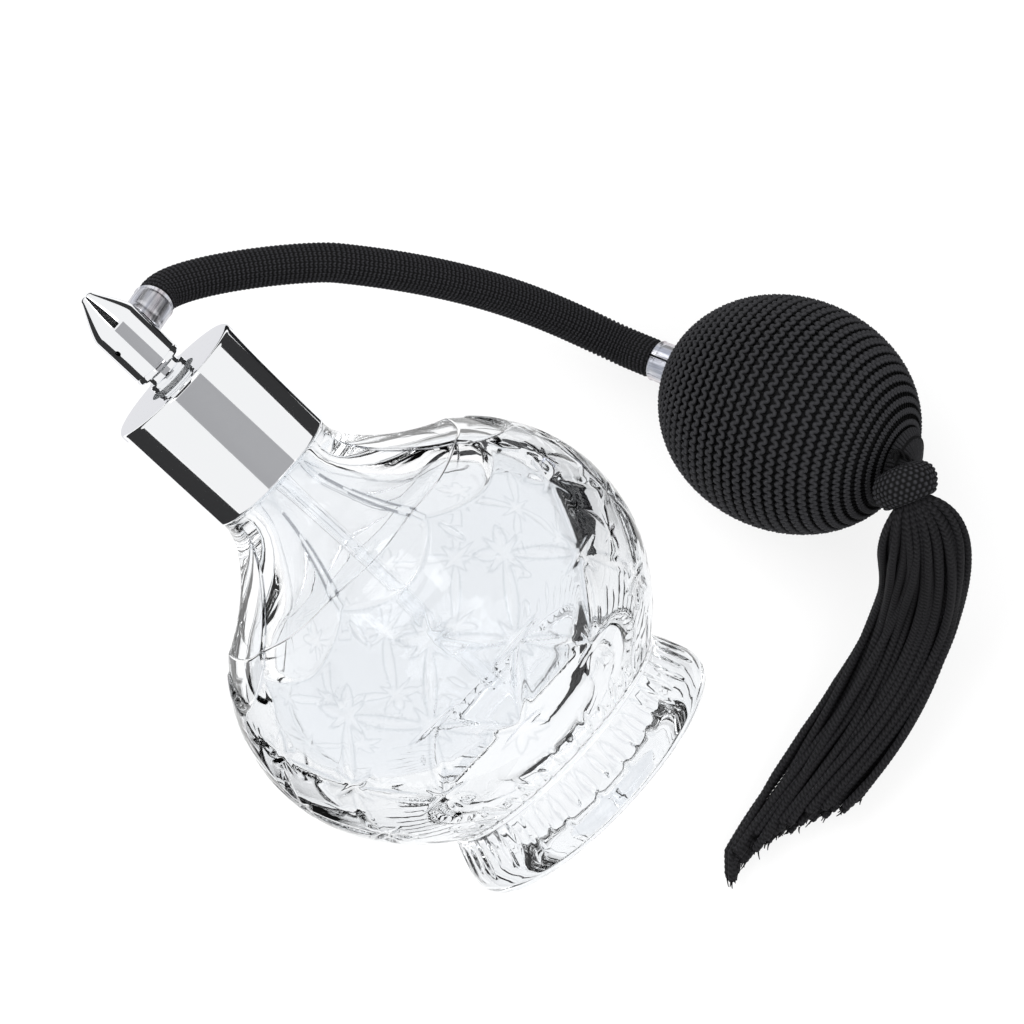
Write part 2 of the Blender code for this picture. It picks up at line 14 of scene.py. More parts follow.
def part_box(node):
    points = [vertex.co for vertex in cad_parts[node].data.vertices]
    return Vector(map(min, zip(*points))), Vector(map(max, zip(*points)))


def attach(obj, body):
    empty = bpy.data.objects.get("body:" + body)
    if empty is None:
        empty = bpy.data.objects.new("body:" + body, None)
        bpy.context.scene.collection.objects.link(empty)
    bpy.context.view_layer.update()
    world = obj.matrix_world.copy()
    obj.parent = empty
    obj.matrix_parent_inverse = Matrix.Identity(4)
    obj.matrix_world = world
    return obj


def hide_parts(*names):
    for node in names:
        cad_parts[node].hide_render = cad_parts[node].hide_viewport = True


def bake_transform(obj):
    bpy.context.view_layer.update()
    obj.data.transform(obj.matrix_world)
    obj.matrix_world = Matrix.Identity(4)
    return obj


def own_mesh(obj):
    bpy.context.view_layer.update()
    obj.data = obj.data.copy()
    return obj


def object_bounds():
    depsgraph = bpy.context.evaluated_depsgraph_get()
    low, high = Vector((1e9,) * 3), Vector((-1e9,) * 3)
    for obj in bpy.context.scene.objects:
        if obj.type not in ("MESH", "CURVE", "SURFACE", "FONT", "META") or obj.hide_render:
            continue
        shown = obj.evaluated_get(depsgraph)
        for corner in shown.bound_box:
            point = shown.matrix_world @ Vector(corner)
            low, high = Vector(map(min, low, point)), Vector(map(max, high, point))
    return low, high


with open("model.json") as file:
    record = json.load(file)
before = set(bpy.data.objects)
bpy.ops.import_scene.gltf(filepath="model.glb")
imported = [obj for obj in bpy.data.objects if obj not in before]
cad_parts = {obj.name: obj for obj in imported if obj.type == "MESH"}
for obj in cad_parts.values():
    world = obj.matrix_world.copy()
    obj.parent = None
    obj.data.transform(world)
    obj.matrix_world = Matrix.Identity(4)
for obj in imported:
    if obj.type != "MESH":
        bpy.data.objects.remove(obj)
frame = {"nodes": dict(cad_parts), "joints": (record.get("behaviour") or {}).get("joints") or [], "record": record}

MM = 0.001
CAD_BOUNDS = [list(corner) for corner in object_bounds()]
CENTRE = (Vector(CAD_BOUNDS[0]) + Vector(CAD_BOUNDS[1])) / 2
JOINTS = {joint["name"]: joint for joint in frame["joints"]}
MOUNT = frame["record"]["mounts"][0]


# ---------- frames, read from the record ----------


def vec(values):
    return np.array(values, float)


def unit(vector):
    return vector / np.linalg.norm(vector)


def units(vectors):
    """Vectors along the last axis, each made one long."""
    return vectors / np.linalg.norm(vectors, axis=-1, keepdims=True)


class Frame:
    """An origin and three axes. Calling it turns points drawn in it into row-frame points."""

    def __init__(self, origin, x, z):
        self.origin, self.z = vec(origin), unit(vec(z))
        self.x = unit(vec(x) - self.z * (vec(x) @ self.z))
        self.y = np.cross(self.z, self.x)
        self.axes = np.array([self.x, self.y, self.z])

    def __call__(self, points):
        return self.origin + np.asarray(points, float) @ self.axes


COLLAR_MID_H = 94.0
PORT_H = 116.4
bottle_z = vec(JOINTS["cap_lift"]["axis"])
bottle_origin = vec(JOINTS["collar_turn"]["pos_m"]) / MM - COLLAR_MID_H * bottle_z
bottle = Frame(bottle_origin, vec(MOUNT["pos_m"]) / MM - bottle_origin, bottle_z)
port = Frame(bottle([0, 0, PORT_H]), bottle.z, bottle.x)

net_low, net_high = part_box("bulb_net")
bulb_z = vec(JOINTS["bulb_squeeze"]["axis"])
bulb_centre = (vec(net_low) + vec(net_high)) / 2 / MM
bulb = Frame(bulb_centre, np.cross(np.cross(bulb_z, [0, 0, 1]), bulb_z) * -1, bulb_z)

# Places on the lying hose and tassel are drawn from a point under the bottle's belly. rest_shift
# brings them into the row frame, by where the bulb's middle comes to lie.
BULB_HALF_L, BULB_R = 24.9, 21.1
BULB_REST = vec((61.2, 40.9, math.hypot(BULB_HALF_L * bulb_z[2], BULB_R * math.hypot(*bulb_z[:2]))))
rest_shift = bulb_centre - BULB_REST

TASSEL_HEADING, TASSEL_DIP = math.radians(-68.0), math.radians(10.0)
level, dip = math.cos(TASSEL_DIP), math.sin(TASSEL_DIP)
knot_z = vec((math.cos(TASSEL_HEADING) * level, math.sin(TASSEL_HEADING) * level, -dip))
knot = Frame(vec(JOINTS["tassel_swing"]["pos_m"]) / MM + 3.0 * knot_z, np.cross(knot_z, [0, 0, -1]), knot_z)


# ---------- mesh helpers ----------


def put(name, data):
    """Adds an object to the scene."""
    thing = bpy.data.objects.new(name, data)
    bpy.context.scene.collection.objects.link(thing)
    return thing


def make(name, points, quads, tris=(), uv=None, sharp=None):
    """A mesh object from row-frame points in millimetres. uv holds one pair per face corner."""
    mesh = bpy.data.meshes.new(name)
    quads = np.asarray(quads, np.int32).reshape(-1, 4)
    tris = np.asarray(tris, np.int32).reshape(-1, 3)
    mesh.vertices.add(len(points))
    mesh.vertices.foreach_set("co", (np.asarray(points, float) * MM).astype(np.float32).ravel())
    corners = np.concatenate([quads.ravel(), tris.ravel()])
    mesh.loops.add(len(corners))
    mesh.loops.foreach_set("vertex_index", corners)
    starts = np.concatenate([np.arange(len(quads)) * 4, len(quads) * 4 + np.arange(len(tris)) * 3])
    mesh.polygons.add(len(starts))
    mesh.polygons.foreach_set("loop_start", starts.astype(np.int32))
    mesh.update(calc_edges=True)
    mesh.validate()
    mesh.shade_smooth()
    if sharp:
        mesh.set_sharp_from_angle(angle=math.radians(sharp))
    if uv is not None:
        layer = mesh.uv_layers.new(name="UVMap")
        layer.data.foreach_set("uv", np.asarray(uv, np.float32).ravel())
    return put(name, mesh)


def relief(thing, values):
    """Keeps a value from 0 to 1 for each point, from which the yarn's and the glass's colour is painted lighter or
    darker, as painted shade and highlight.
    """
    layer = thing.data.attributes.new("relief", "FLOAT", "POINT")
    layer.data.foreach_set("value", np.clip(values, 0, 1).astype(np.float32).ravel())


def turns_of(count):
    """Evenly spaced angles round a full turn."""
    return 2 * math.pi * np.arange(count) / count


def strand_painted_shade(rings, sides):
    """Painted shade for round strands: their outer side is painted lighter and their inner side darker."""
    return np.tile(0.5 + 0.5 * np.sin(turns_of(sides)), rings)


def grid_quads(rows, cols, wrap_rows=False, wrap_cols=True, start=0):
    """Faces of a grid of points, and their (row, column) corners for texture coordinates."""
    r = np.arange(rows if wrap_rows else rows - 1)
    c = np.arange(cols if wrap_cols else cols - 1)
    r, c = (a.ravel() for a in np.meshgrid(r, c, indexing="ij"))
    corner_r = np.stack([r, r, r + 1, r + 1], 1)
    corner_c = np.stack([c, c + 1, c + 1, c], 1)
    quads = (corner_r % rows) * cols + corner_c % cols + start
    return quads, np.stack([corner_c / cols, corner_r / max(rows - 1, 1)], 2)


def caps(rows, cols):
    """Faces that close a grid's first and last rows onto two points that follow its own."""
    first, far = rows * cols, (rows - 1) * cols
    tris = []
    for c in range(cols):
        after = (c + 1) % cols
        tris += [(first, after, c), (first + 1, far + c, far + after)]
    return tris


def padded(uv, tris):
    """The quads' texture coordinates, with zeros after them for the triangles."""
    return np.concatenate([uv.reshape(-1, 2), np.zeros((len(tris) * 3, 2))])


def arc(centre, radii, start, end, steps):
    angles = np.radians(np.linspace(start, end, steps + 1))
    return np.stack([centre[0] + radii[0] * np.cos(angles), centre[1] + radii[1] * np.sin(angles)], 1)


def bezier(points, steps):
    """Points of a cubic curve, both ends included."""
    p = [vec(point) for point in points]
    t = np.linspace(0, 1, steps + 1)[:, None]
    s = 1 - t
    return s**3 * p[0] + 3 * s * s * t * p[1] + 3 * s * t * t * p[2] + t**3 * p[3]


def distances(line):
    """How far along a line each of its points is."""
    return np.concatenate([[0], np.cumsum(np.linalg.norm(np.diff(line, axis=0), axis=1))])


def look_up(at, lengths, rows):
    """Rows kept for points along a line, worked out at other distances along it."""
    return np.stack([np.interp(at, lengths, column) for column in rows.T], 1)


def spun(r, theta, h):
    """Points at a radius, an angle about Z and a height."""
    return np.stack(np.broadcast_arrays(r * np.cos(theta), r * np.sin(theta), h), -1)


def resample(line, spacing):
    """The same line with its points at an even spacing."""
    line = np.asarray(line, float)
    lengths = distances(line)
    count = max(2, int(round(lengths[-1] / spacing)) + 1)
    at = np.linspace(0, lengths[-1], count)
    return look_up(at, lengths, line)


def lathe(name, outline, place, segments=96, closed=True, sharp=32, gap=0.0, turn=0.0):
    """Spins a (radius, height) outline about a frame's Z. A closed outline gives a ring, an open one
    starts and ends on Z. A gap, in radians, leaves the ring split along one side."""
    outline = np.asarray(outline, float)
    split = gap > 0
    angles = turn + np.linspace(gap / 2, 2 * math.pi - gap / 2, segments + 1)
    if not split:
        angles = angles[:-1]
    body = outline if closed else outline[1:-1]
    r, h = body[:, 0][:, None], body[:, 1][:, None]
    points = spun(r, angles, h)
    rows, cols = points.shape[:2]
    quads, uv = grid_quads(rows, cols, wrap_rows=closed, wrap_cols=not split)
    points, tris = points.reshape(-1, 3), []
    if split:
        ends = [[row * cols for row in range(rows)], [row * cols + cols - 1 for row in range(rows)]]
        for ring, flip in zip(ends, (False, True)):
            fan = [(ring[0], ring[i], ring[i + 1]) for i in range(1, rows - 1)]
            tris += [face[::-1] if flip else face for face in fan]
    if not closed:
        points = np.concatenate([points, [[0, 0, outline[0, 1]], [0, 0, outline[-1, 1]]]])
        tris = caps(rows, cols)
    return outward(make(name, place(points), quads, tris, padded(uv, tris), sharp))


def outward(thing):
    """Turns a closed mesh's faces outwards."""
    mesh = thing.data
    co = np.empty(len(mesh.vertices) * 3, np.float32)
    mesh.vertices.foreach_get("co", co)
    co = co.reshape(-1, 3).astype(float)
    mesh.calc_loop_triangles()
    faces = np.empty(len(mesh.loop_triangles) * 3, np.int32)
    mesh.loop_triangles.foreach_get("vertices", faces)
    corners = co[faces.reshape(-1, 3)] - co.mean(0)
    volume = np.einsum("ij,ij->i", corners[:, 0], np.cross(corners[:, 1], corners[:, 2])).sum()
    if volume < 0:
        mesh.flip_normals()
    return thing


def strands(paths, radius, up, sides=6, closed=False, start=0):
    """Round strands along paths of shape (strands, steps, 3). radius may be (strands, steps) or
    (strands, steps, sides). up is a direction across the paths. Returns points, quads, tris and uv."""
    paths = np.asarray(paths, float)
    count, steps = paths.shape[:2]
    if closed:
        along = np.roll(paths, -1, 1) - np.roll(paths, 1, 1)
    else:
        along = np.gradient(paths, axis=1)
    along = units(along)
    side = units(np.cross(along, np.broadcast_to(up, paths.shape)))
    lift = np.cross(side, along)
    turn = turns_of(sides)
    radius = np.broadcast_to(radius, (count, steps))[..., None] if np.ndim(radius) < 3 else radius
    ring = (
        side[:, :, None, :] * (radius * np.cos(turn))[..., None]
        + lift[:, :, None, :] * (radius * np.sin(turn))[..., None]
    )
    points = (paths[:, :, None, :] + ring).reshape(-1, 3)
    quads, tris, uv = [], [], []
    one_quads, one_uv = grid_quads(steps, sides, wrap_rows=closed)
    for s in range(count):
        base = start + s * steps * sides
        quads.append(one_quads + base)
        uv.append(one_uv)
        if not closed:
            ring_end = base + (steps - 1) * sides
            tris += [(base, base + i, base + i + 1) for i in range(1, sides - 1)]
            tris += [(ring_end, ring_end + i + 1, ring_end + i) for i in range(1, sides - 1)]
    return points, np.concatenate(quads), tris, padded(np.concatenate(uv), tris)


def join_parts(parts):
    """Joins several (points, quads, tris, uv) sets, each numbered from 0, into one."""
    points, quads, tris, uv_quads, uv_tris, base = [], [], [], [], [], 0
    for p, q, t, uv in parts:
        q, t = np.asarray(q).reshape(-1, 4), np.asarray(t, int).reshape(-1, 3)
        points.append(p)
        quads.append(q + base)
        tris.append(t + base)
        uv_quads.append(uv[: len(q) * 4])
        uv_tris.append(uv[len(q) * 4 :])
        base += len(p)
    uv = np.concatenate(uv_quads + uv_tris)
    return np.concatenate(points), np.concatenate(quads), np.concatenate(tris), uv


# ---------- materials ----------


class Nodes:
    """A small helper for a material's node tree."""

    def __init__(self, name):
        self.material = bpy.data.materials.new(name)
        self.material.use_nodes = True
        self.tree = self.material.node_tree
        self.shader = self.tree.nodes["Principled BSDF"]

    def add(self, kind, settings=None, **inputs):
        node = self.tree.nodes.new(kind)
        for key, value in (settings or {}).items():
            setattr(node, key, value)
        for key, value in inputs.items():
            self.feed(node, key.replace("_", " "), value)
        return node

    def feed(self, node, key, value):
        if isinstance(key, str) and key.isdigit():
            key = int(key)
        if isinstance(value, bpy.types.NodeSocket):
            self.tree.links.new(value, node.inputs[key])
        else:
            node.inputs[key].default_value = value

    def set(self, **inputs):
        for key, value in inputs.items():
            self.feed(self.shader, key.replace("_", " "), value)

    def coords(self, which="Object", scale=(1, 1, 1)):
        source = self.add("ShaderNodeTexCoord").outputs[which]
        return self.add("ShaderNodeMapping", Vector=source, Scale=scale).outputs["Vector"]

    def noise(self, scale, detail=3.0, vector=None, **more):
        vector = vector or self.coords()
        node = self.add("ShaderNodeTexNoise", Vector=vector, Scale=scale, Detail=detail, **more)
        return node.outputs["Fac"]

    def span(self, value, low, high, start=0.0, end=1.0):
        """Maps a value from start..end to low..high."""
        node = self.add("ShaderNodeMapRange", Value=value)
        node.inputs["From Min"].default_value, node.inputs["From Max"].default_value = start, end
        node.inputs["To Min"].default_value, node.inputs["To Max"].default_value = low, high
        return node.outputs["Result"]

    def ramp(self, value, *stops):
        node = self.add("ShaderNodeValToRGB", Fac=value)
        marks = node.color_ramp.elements
        while len(marks) < len(stops):
            marks.new(0.5)
        for mark, (position, colour) in zip(marks, stops):
            mark.position, mark.color = position, (*colour, 1.0)
        return node.outputs["Color"]

    def bump(self, height, strength, distance=0.0002):
        node = self.add("ShaderNodeBump", Height=height, Strength=strength, Distance=distance)
        self.set(Normal=node.outputs["Normal"])


def glass_material():
    """Clear glass with shade and highlight painted into its tint. The relief is 0 on a painted dark outline,
    PLAIN_RELIEF on plain glass and more in a cut, where a shallow cut's rim gets a painted dark line and a deep
    cut a painted lighter grey.
    """
    m = Nodes("cut_glass")
    cut = m.add("ShaderNodeAttribute", {"attribute_name": "relief"}).outputs["Fac"]
    # Painted shade and highlight: outline is a painted dark outline, edge a painted dark line on the rims of the
    # cuts and groove a painted lighter grey in the deep cuts; flat is the glass's own pale tint.
    edge, flat, groove = (0.66, 0.69, 0.72), (0.885, 0.902, 0.922), (0.965, 0.97, 0.978)
    outline = (0.20, 0.21, 0.23)
    stops = ((0.0, outline), (0.15, flat), (0.21, flat), (0.29, edge), (0.40, flat), (0.75, groove))
    tint = m.ramp(cut, *stops)
    m.set(Base_Color=tint, Transmission_Weight=1.0, IOR=1.36)
    m.set(Roughness=m.span(m.noise(60, 2), 0.0, 0.025, 0.35, 0.75))
    m.bump(m.noise(140, 3), 0.12, 0.0003)
    return m.material


def chrome_material():
    m = Nodes("chrome_plate")
    m.set(Base_Color=(0.93, 0.94, 0.955, 1), Metallic=1.0)
    m.set(Roughness=m.span(m.noise(900, 4), 0.03, 0.075))
    m.bump(m.noise(350, 2), 0.03, 0.0001)
    return m.material


def brushed_material():
    """Rolled aluminium, streaked along its length."""
    m = Nodes("brushed_aluminium")
    streak = m.noise(1.0, 5, m.coords("UV", (42, 0.8, 1)))
    broad = m.noise(1.0, 2, m.coords("UV", (7, 0.5, 1)))
    tint = m.ramp(broad, (0.3, (0.50, 0.53, 0.63)), (0.5, (0.76, 0.76, 0.79)), (0.72, (0.68, 0.58, 0.61)))
    shade = m.ramp(streak, (0.3, (0.30, 0.30, 0.33)), (0.62, (1, 1, 1)))
    mixed = m.add("ShaderNodeMix", {"data_type": "RGBA", "blend_type": "MULTIPLY"})
    mixed.inputs["Factor"].default_value = 0.85
    m.tree.links.new(tint, mixed.inputs[6])
    m.tree.links.new(shade, mixed.inputs[7])
    m.set(Base_Color=mixed.outputs[2], Metallic=1.0, Roughness=m.span(streak, 0.18, 0.42))
    m.bump(streak, 0.25, 0.0001)
    return m.material


def yarn_material(name, dark, light, rough, sheen, twist=(2, 60, 1)):
    """Black yarn: fine fibres twisted round each strand, with a faint bloom. Its colour is painted lighter where
    the relief value is high and darker where it is low, as painted highlight and shade.
    """
    m = Nodes(name)
    fibre = m.noise(1.0, 4, m.coords("UV", twist))
    painted_shade = m.add("ShaderNodeAttribute", {"attribute_name": "relief"}).outputs["Fac"]
    factors = {"0": m.span(fibre, 0.6, 1.4), "1": painted_shade}
    # both is the fibre pattern times the painted shade value, which runs from the dark to the light yarn colour.
    both = m.add("ShaderNodeMath", {"operation": "MULTIPLY"}, **factors).outputs[0]
    m.set(Base_Color=m.ramp(both, (0.25, dark), (0.95, light)))
    m.set(Roughness=m.span(fibre, rough - 0.1, rough + 0.08))
    m.set(Sheen_Weight=sheen, Sheen_Roughness=0.4, Sheen_Tint=(0.75, 0.76, 0.8, 1))
    m.set(Specular_IOR_Level=0.12)
    m.bump(fibre, 0.5, 0.00012)
    return m.material


def rubber_material():
    m = Nodes("black_rubber_skin")
    grain = m.noise(700, 4)
    m.set(Base_Color=m.ramp(grain, (0.3, (0.002, 0.002, 0.0025)), (0.8, (0.005, 0.005, 0.0055))))
    m.set(Specular_IOR_Level=0.1)
    m.set(Roughness=m.span(grain, 0.5, 0.7))
    m.bump(grain, 0.2, 0.0001)
    return m.material


def plastic_material(name, colour, clear=0.0):
    m = Nodes(name)
    grain = m.noise(300, 3)
    m.set(Base_Color=(*colour, 1), Transmission_Weight=clear, IOR=1.2 if clear else 1.46)
    m.set(Roughness=m.span(grain, 0.01 if clear else 0.28, 0.05 if clear else 0.42))
    m.bump(grain, 0.02 if clear else 0.05, 0.0001)
    return m.material


def steel_material():
    m = Nodes("turned_steel")
    lines = m.noise(1.0, 3, m.coords("Object", (2500, 2500, 2500)))
    m.set(Base_Color=(0.72, 0.73, 0.75, 1), Metallic=1.0, Roughness=m.span(lines, 0.14, 0.3))
    m.bump(lines, 0.08, 0.0001)
    return m.material


LOOKS = {
    "clear_glass": glass_material(),
    "chrome": chrome_material(),
    "ferrule_metal": brushed_material(),
    "white_plastic": plastic_material("white_plastic_moulding", (0.82, 0.83, 0.84)),
    "clear_plastic": plastic_material("clear_plastic_tube", (0.98, 0.985, 0.99), 1.0),
    "gasket_rubber": rubber_material(),
    "black_rubber": rubber_material(),
    "black_knit": yarn_material(
        "black_knit_yarn", (0.0012, 0.0012, 0.0014), (0.029, 0.029, 0.032), 0.7, 0.02
    ),
    "black_cord": yarn_material(
        "black_cord_yarn", (0.002, 0.002, 0.0023), (0.020, 0.0195, 0.022), 0.7, 0.015
    ),
    "steel": steel_material(),
}
LOOKS["black_sleeve"] = yarn_material(
    "black_sleeve_yarn", (0.002, 0.002, 0.0023), (0.030, 0.030, 0.034), 0.7, 0.02, (60, 90, 1)
)


def finish(thing, slot, look=None, body=None, node=None):
    """Gives a piece the look named, or else the look for the record's slot it stands for, and attaches
    it to the body it rides on and hides the CAD node it replaces, where these are named."""
    thing.data.materials.clear()
    thing.data.materials.append(LOOKS[look or slot])
    if body:
        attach(thing, body)
    if node:
        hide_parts(node)
    return thing


def cord(name, strand, twists, body=None, node=None):
    """A piece of black cord from a strand's points, quads, tris and uv, with its fibres repeated."""
    points, quads, tris, uv = strand
    return finish(make(name, points, quads, tris, uv * [1, twists]), "black_cord", body=body, node=node)


# ---------- bottle ----------

BELLY_R, BELLY_HALF_H, BELLY_MID = 40.0, 35.3, 40.3
CAVITY_R, CAVITY_HALF_H, CAVITY_MID = 33.0, 26.0, 43.5
FOOT_R, FOOT_RING_R, FOOT_RIM_H, DISH_DEPTH = 28.0, 17.5, 3.0, 1.6
WAIST_R, WAIST_H = 24.9, 12.6
FLARE_R, FLARE_H = 29.0, 64.6
THROAT_R, THROAT_H = 12.7, 81.2
NECK_R, NECK_BORE_R, NECK_TOP, BORE_END_H = 9.8, 6.8, 99.0, 78.0
PITCH, THREAD_TURNS, THREAD_START_H = 3.0, 1.5, 88.0

COLUMNS = 360
OUTLINE_SPACINGS = (1.6, 0.7, 0.55, 0.48, 0.6, 0.6, 3.0, 2.2, 3.0)
OUTSIDE_PARTS = 6  # the first six stretches of the outline are outside
PLAIN_RELIEF = 0.2
PETALS, PETAL_PHASE = 9, 2.0
CUSP_H, PETAL_LOW_H = 61.6, 57.2
LEAF_HALF_W, SCALLOP_POWER = 0.95, 1.7
STARS, STAR_PHASE = 12, -5.3
STAR_ROWS = ((49.1, 0.0), (38.3, 0.5), (26.0, 0.0))
FACING = -133.0  # the side of the bottle that faces up, in degrees round from the hose port


def bottle_outline():
    """(radius, height) rows of the outside, then of the inside, each at its own spacing, and how many
    of the rows are outside."""
    edge = FOOT_R - FOOT_RIM_H * 0.9
    under = [(1.0, DISH_DEPTH), (FOOT_RING_R - 3, DISH_DEPTH), (FOOT_RING_R, 0), (edge, 0)]
    rim = arc((edge, FOOT_RIM_H), (FOOT_R - edge, FOOT_RIM_H), -90, 0, 12)
    foot_top, waist = (FOOT_R, FOOT_RIM_H), (WAIST_R, WAIST_H)
    side = bezier([foot_top, (FOOT_R, FOOT_RIM_H + 3), (WAIST_R + 1.4, WAIST_H - 4), waist], 24)
    start = -math.degrees(math.asin((BELLY_MID - WAIST_H - 1.2) / BELLY_HALF_H))
    end = math.degrees(math.asin((FLARE_H - BELLY_MID) / BELLY_HALF_H))
    belly = arc((0, BELLY_MID), (BELLY_R, BELLY_HALF_H), start, end, 400)
    throat = bezier([(FLARE_R, FLARE_H), (22.5, 67.6), (THROAT_R, 75.2), (THROAT_R, THROAT_H)], 60)
    lip = (NECK_R - 0.5, NECK_TOP)
    neck = [(THROAT_R, THROAT_H + 0.6), (NECK_R, THROAT_H + 2), (NECK_R, NECK_TOP - 0.5), lip]
    bore_top, bore_end = (NECK_BORE_R, NECK_TOP - 0.5), (NECK_BORE_R, BORE_END_H)
    bore = [lip, (NECK_BORE_R + 0.5, NECK_TOP), bore_top, bore_end]
    inner_top = math.degrees(math.acos(22.0 / CAVITY_R))
    cavity = arc((0, CAVITY_MID), (CAVITY_R, CAVITY_HALF_H), inner_top, -87, 60)
    inner = bezier([bore_end, (NECK_BORE_R, 70), (14.0, 67.0), cavity[0]], 20)
    lines = (under, rim, side, belly, throat, neck, bore, inner, cavity)
    parts = [resample(line, spacing) for line, spacing in zip(lines, OUTLINE_SPACINGS)]
    rows = [parts[0]]
    for before, part in zip(parts, parts[1:]):
        rows.append(part[1:] if np.allclose(part[0], before[-1]) else part)
    outside = sum(len(part) for part in rows[:OUTSIDE_PARTS])
    return np.concatenate(rows), outside


def wedge(distance, half_width, depth):
    """A V-groove's depth at a distance from its middle line."""
    return depth * np.clip(1 - np.abs(distance) / np.maximum(half_width, 1e-6), 0, 1)


def nearest(theta, count, phase):
    """The angle to the nearest of count evenly spaced directions, in radians."""
    step = 2 * math.pi / count
    return (theta - math.radians(phase) + step / 2) % step - step / 2


def star_cut(theta, s, r, row_s, phase, link_up, link_down):
    """One row of eight-rayed stars. The diagonal rays run on as links to the rows above and below."""
    x = r * nearest(theta, STARS, STAR_PHASE + FACING + phase * 360 / STARS)
    y = s - row_s
    cut = np.zeros(x.shape)
    reach = r * math.pi / STARS
    for ray in range(8):
        if ray % 2 == 0:
            turn, length, width, depth = ray * math.pi / 4, 5.6, 0.85, 0.55
            dx, dy = math.cos(turn) + 0 * x, math.sin(turn) + 0 * x
        else:
            link = link_up if ray in (1, 3) else link_down
            gap = link if link else 11.0
            dx = reach * (1 if ray in (1, 7) else -1)
            dy = gap * (1 if ray in (1, 3) else -1) + 0 * x
            far = np.hypot(dx, dy)
            dx, dy = dx / far, dy / far
            length, width, depth = (far * 1.02 if link else 7.0 + 0 * x), 1.45, 0.42
        along, off = x * dx + y * dy, x * dy - y * dx
        q = np.clip(along / length, 0, 1)
        if ray % 2:
            thick = 0.25 + 0.75 * np.sin(math.pi * q) if link else np.sin(math.pi * np.clip(q + 0.12, 0, 1))
        else:
            thick = np.clip(1.15 - q, 0, 1) * np.where(q < 1, 1, 0)
        cut = np.maximum(cut, np.where(along > -0.2, wedge(off, width * thick, depth * thick), 0))
    return cut


def leaf_body(h):
    """How full the leaf-shaped groove on each ridge is, from its point at the top to its round end."""
    q = (THROAT_H - 1.5 - h) / (THROAT_H - 1.5 - CUSP_H - 0.4)
    widest = 0.82
    taper = np.clip(q / widest, 0, 1) ** 0.9
    end = np.sqrt(np.clip(1 - ((q - widest) / (1 - widest)) ** 2, 0, 1))
    return np.where(q < widest, taper, end)


def painted_leaf_outline(theta, h, r):
    """Where the leaf-shaped grooves' steep edges are, on which a dark outline is painted as shade."""
    ridge = np.abs(r * nearest(theta, PETALS, PETAL_PHASE + FACING + 180 / PETALS))
    body = LEAF_HALF_W * leaf_body(h)
    return (body > 0.12) & (ridge > body - 0.45) & (ridge < body + 0.12)


def petal_across(theta):
    """0 on a petal's middle line and 1 on the ridges beside it."""
    return np.clip(np.abs(nearest(theta, PETALS, PETAL_PHASE + FACING)) * PETALS / math.pi, 0, 1)


def scallop_border(across):
    """The height where a petal ends: low on its middle line and high at the cusps."""
    return PETAL_LOW_H + (CUSP_H - PETAL_LOW_H) * across**SCALLOP_POWER


def petal_cut(theta, h, r):
    """Concave flutes down the neck, ending in scallops, with a leaf-shaped groove on each ridge."""
    across = petal_across(theta)
    border = scallop_border(across)
    inside = np.clip((h - border) / 1.3, 0, 1)
    fade = np.clip((THROAT_H + 1.5 - h) / 16, 0, 1) ** 0.8
    sag = 1.1 * (1 - across**2) * fade + 0.3 * fade
    flute = sag * inside * inside * (3 - 2 * inside)
    ridge = r * nearest(theta, PETALS, PETAL_PHASE + FACING + 180 / PETALS)
    body = leaf_body(h)
    leaf = wedge(ridge, LEAF_HALF_W * body, 0.85 * body)
    q = (CUSP_H - 1.2 - h) / 5.0
    short = np.where((q > 0) & (q < 1), np.sin(math.pi * np.clip(q, 0, 1)), 0)
    return np.maximum(np.maximum(flute, leaf), wedge(ridge, 0.8 * short, 0.45 * short))


def fan_cut(theta, h, r):
    """Rays that fan out above and below the waist, and the cuts down the side of the foot."""
    cut = np.zeros(h.shape)
    for count, phase, low, high, width in (
        (24, 0.0, 13.2, 19.5, 0.8),
        (24, 0.5, 13.2, 17.2, 0.6),
        (24, 0.0, 4.6, 12.0, 1.0),
        (24, 0.5, 6.2, 12.0, 0.8),
    ):
        x = r * nearest(theta, count, STAR_PHASE + FACING + phase * 360 / count)
        q = np.clip((h - low) / (high - low), 0, 1)
        body = np.sin(math.pi * q) ** 0.7
        cut = np.maximum(cut, wedge(x, width * body, 0.42 * body))
    return cut


def thread_rise(theta, h):
    """The neck's screw thread, which fades in and out at its ends."""
    rise = np.zeros(h.shape)
    for turn in range(3):
        travel = theta / (2 * math.pi) + turn
        middle = THREAD_START_H + PITCH * travel
        fade = np.clip(travel * 10, 0, 1) * np.clip((THREAD_TURNS - travel) * 10, 0, 1)
        rise = np.maximum(rise, 1.1 * fade * np.clip(1.7 - np.abs(h - middle) / 0.5, 0, 1))
    return rise


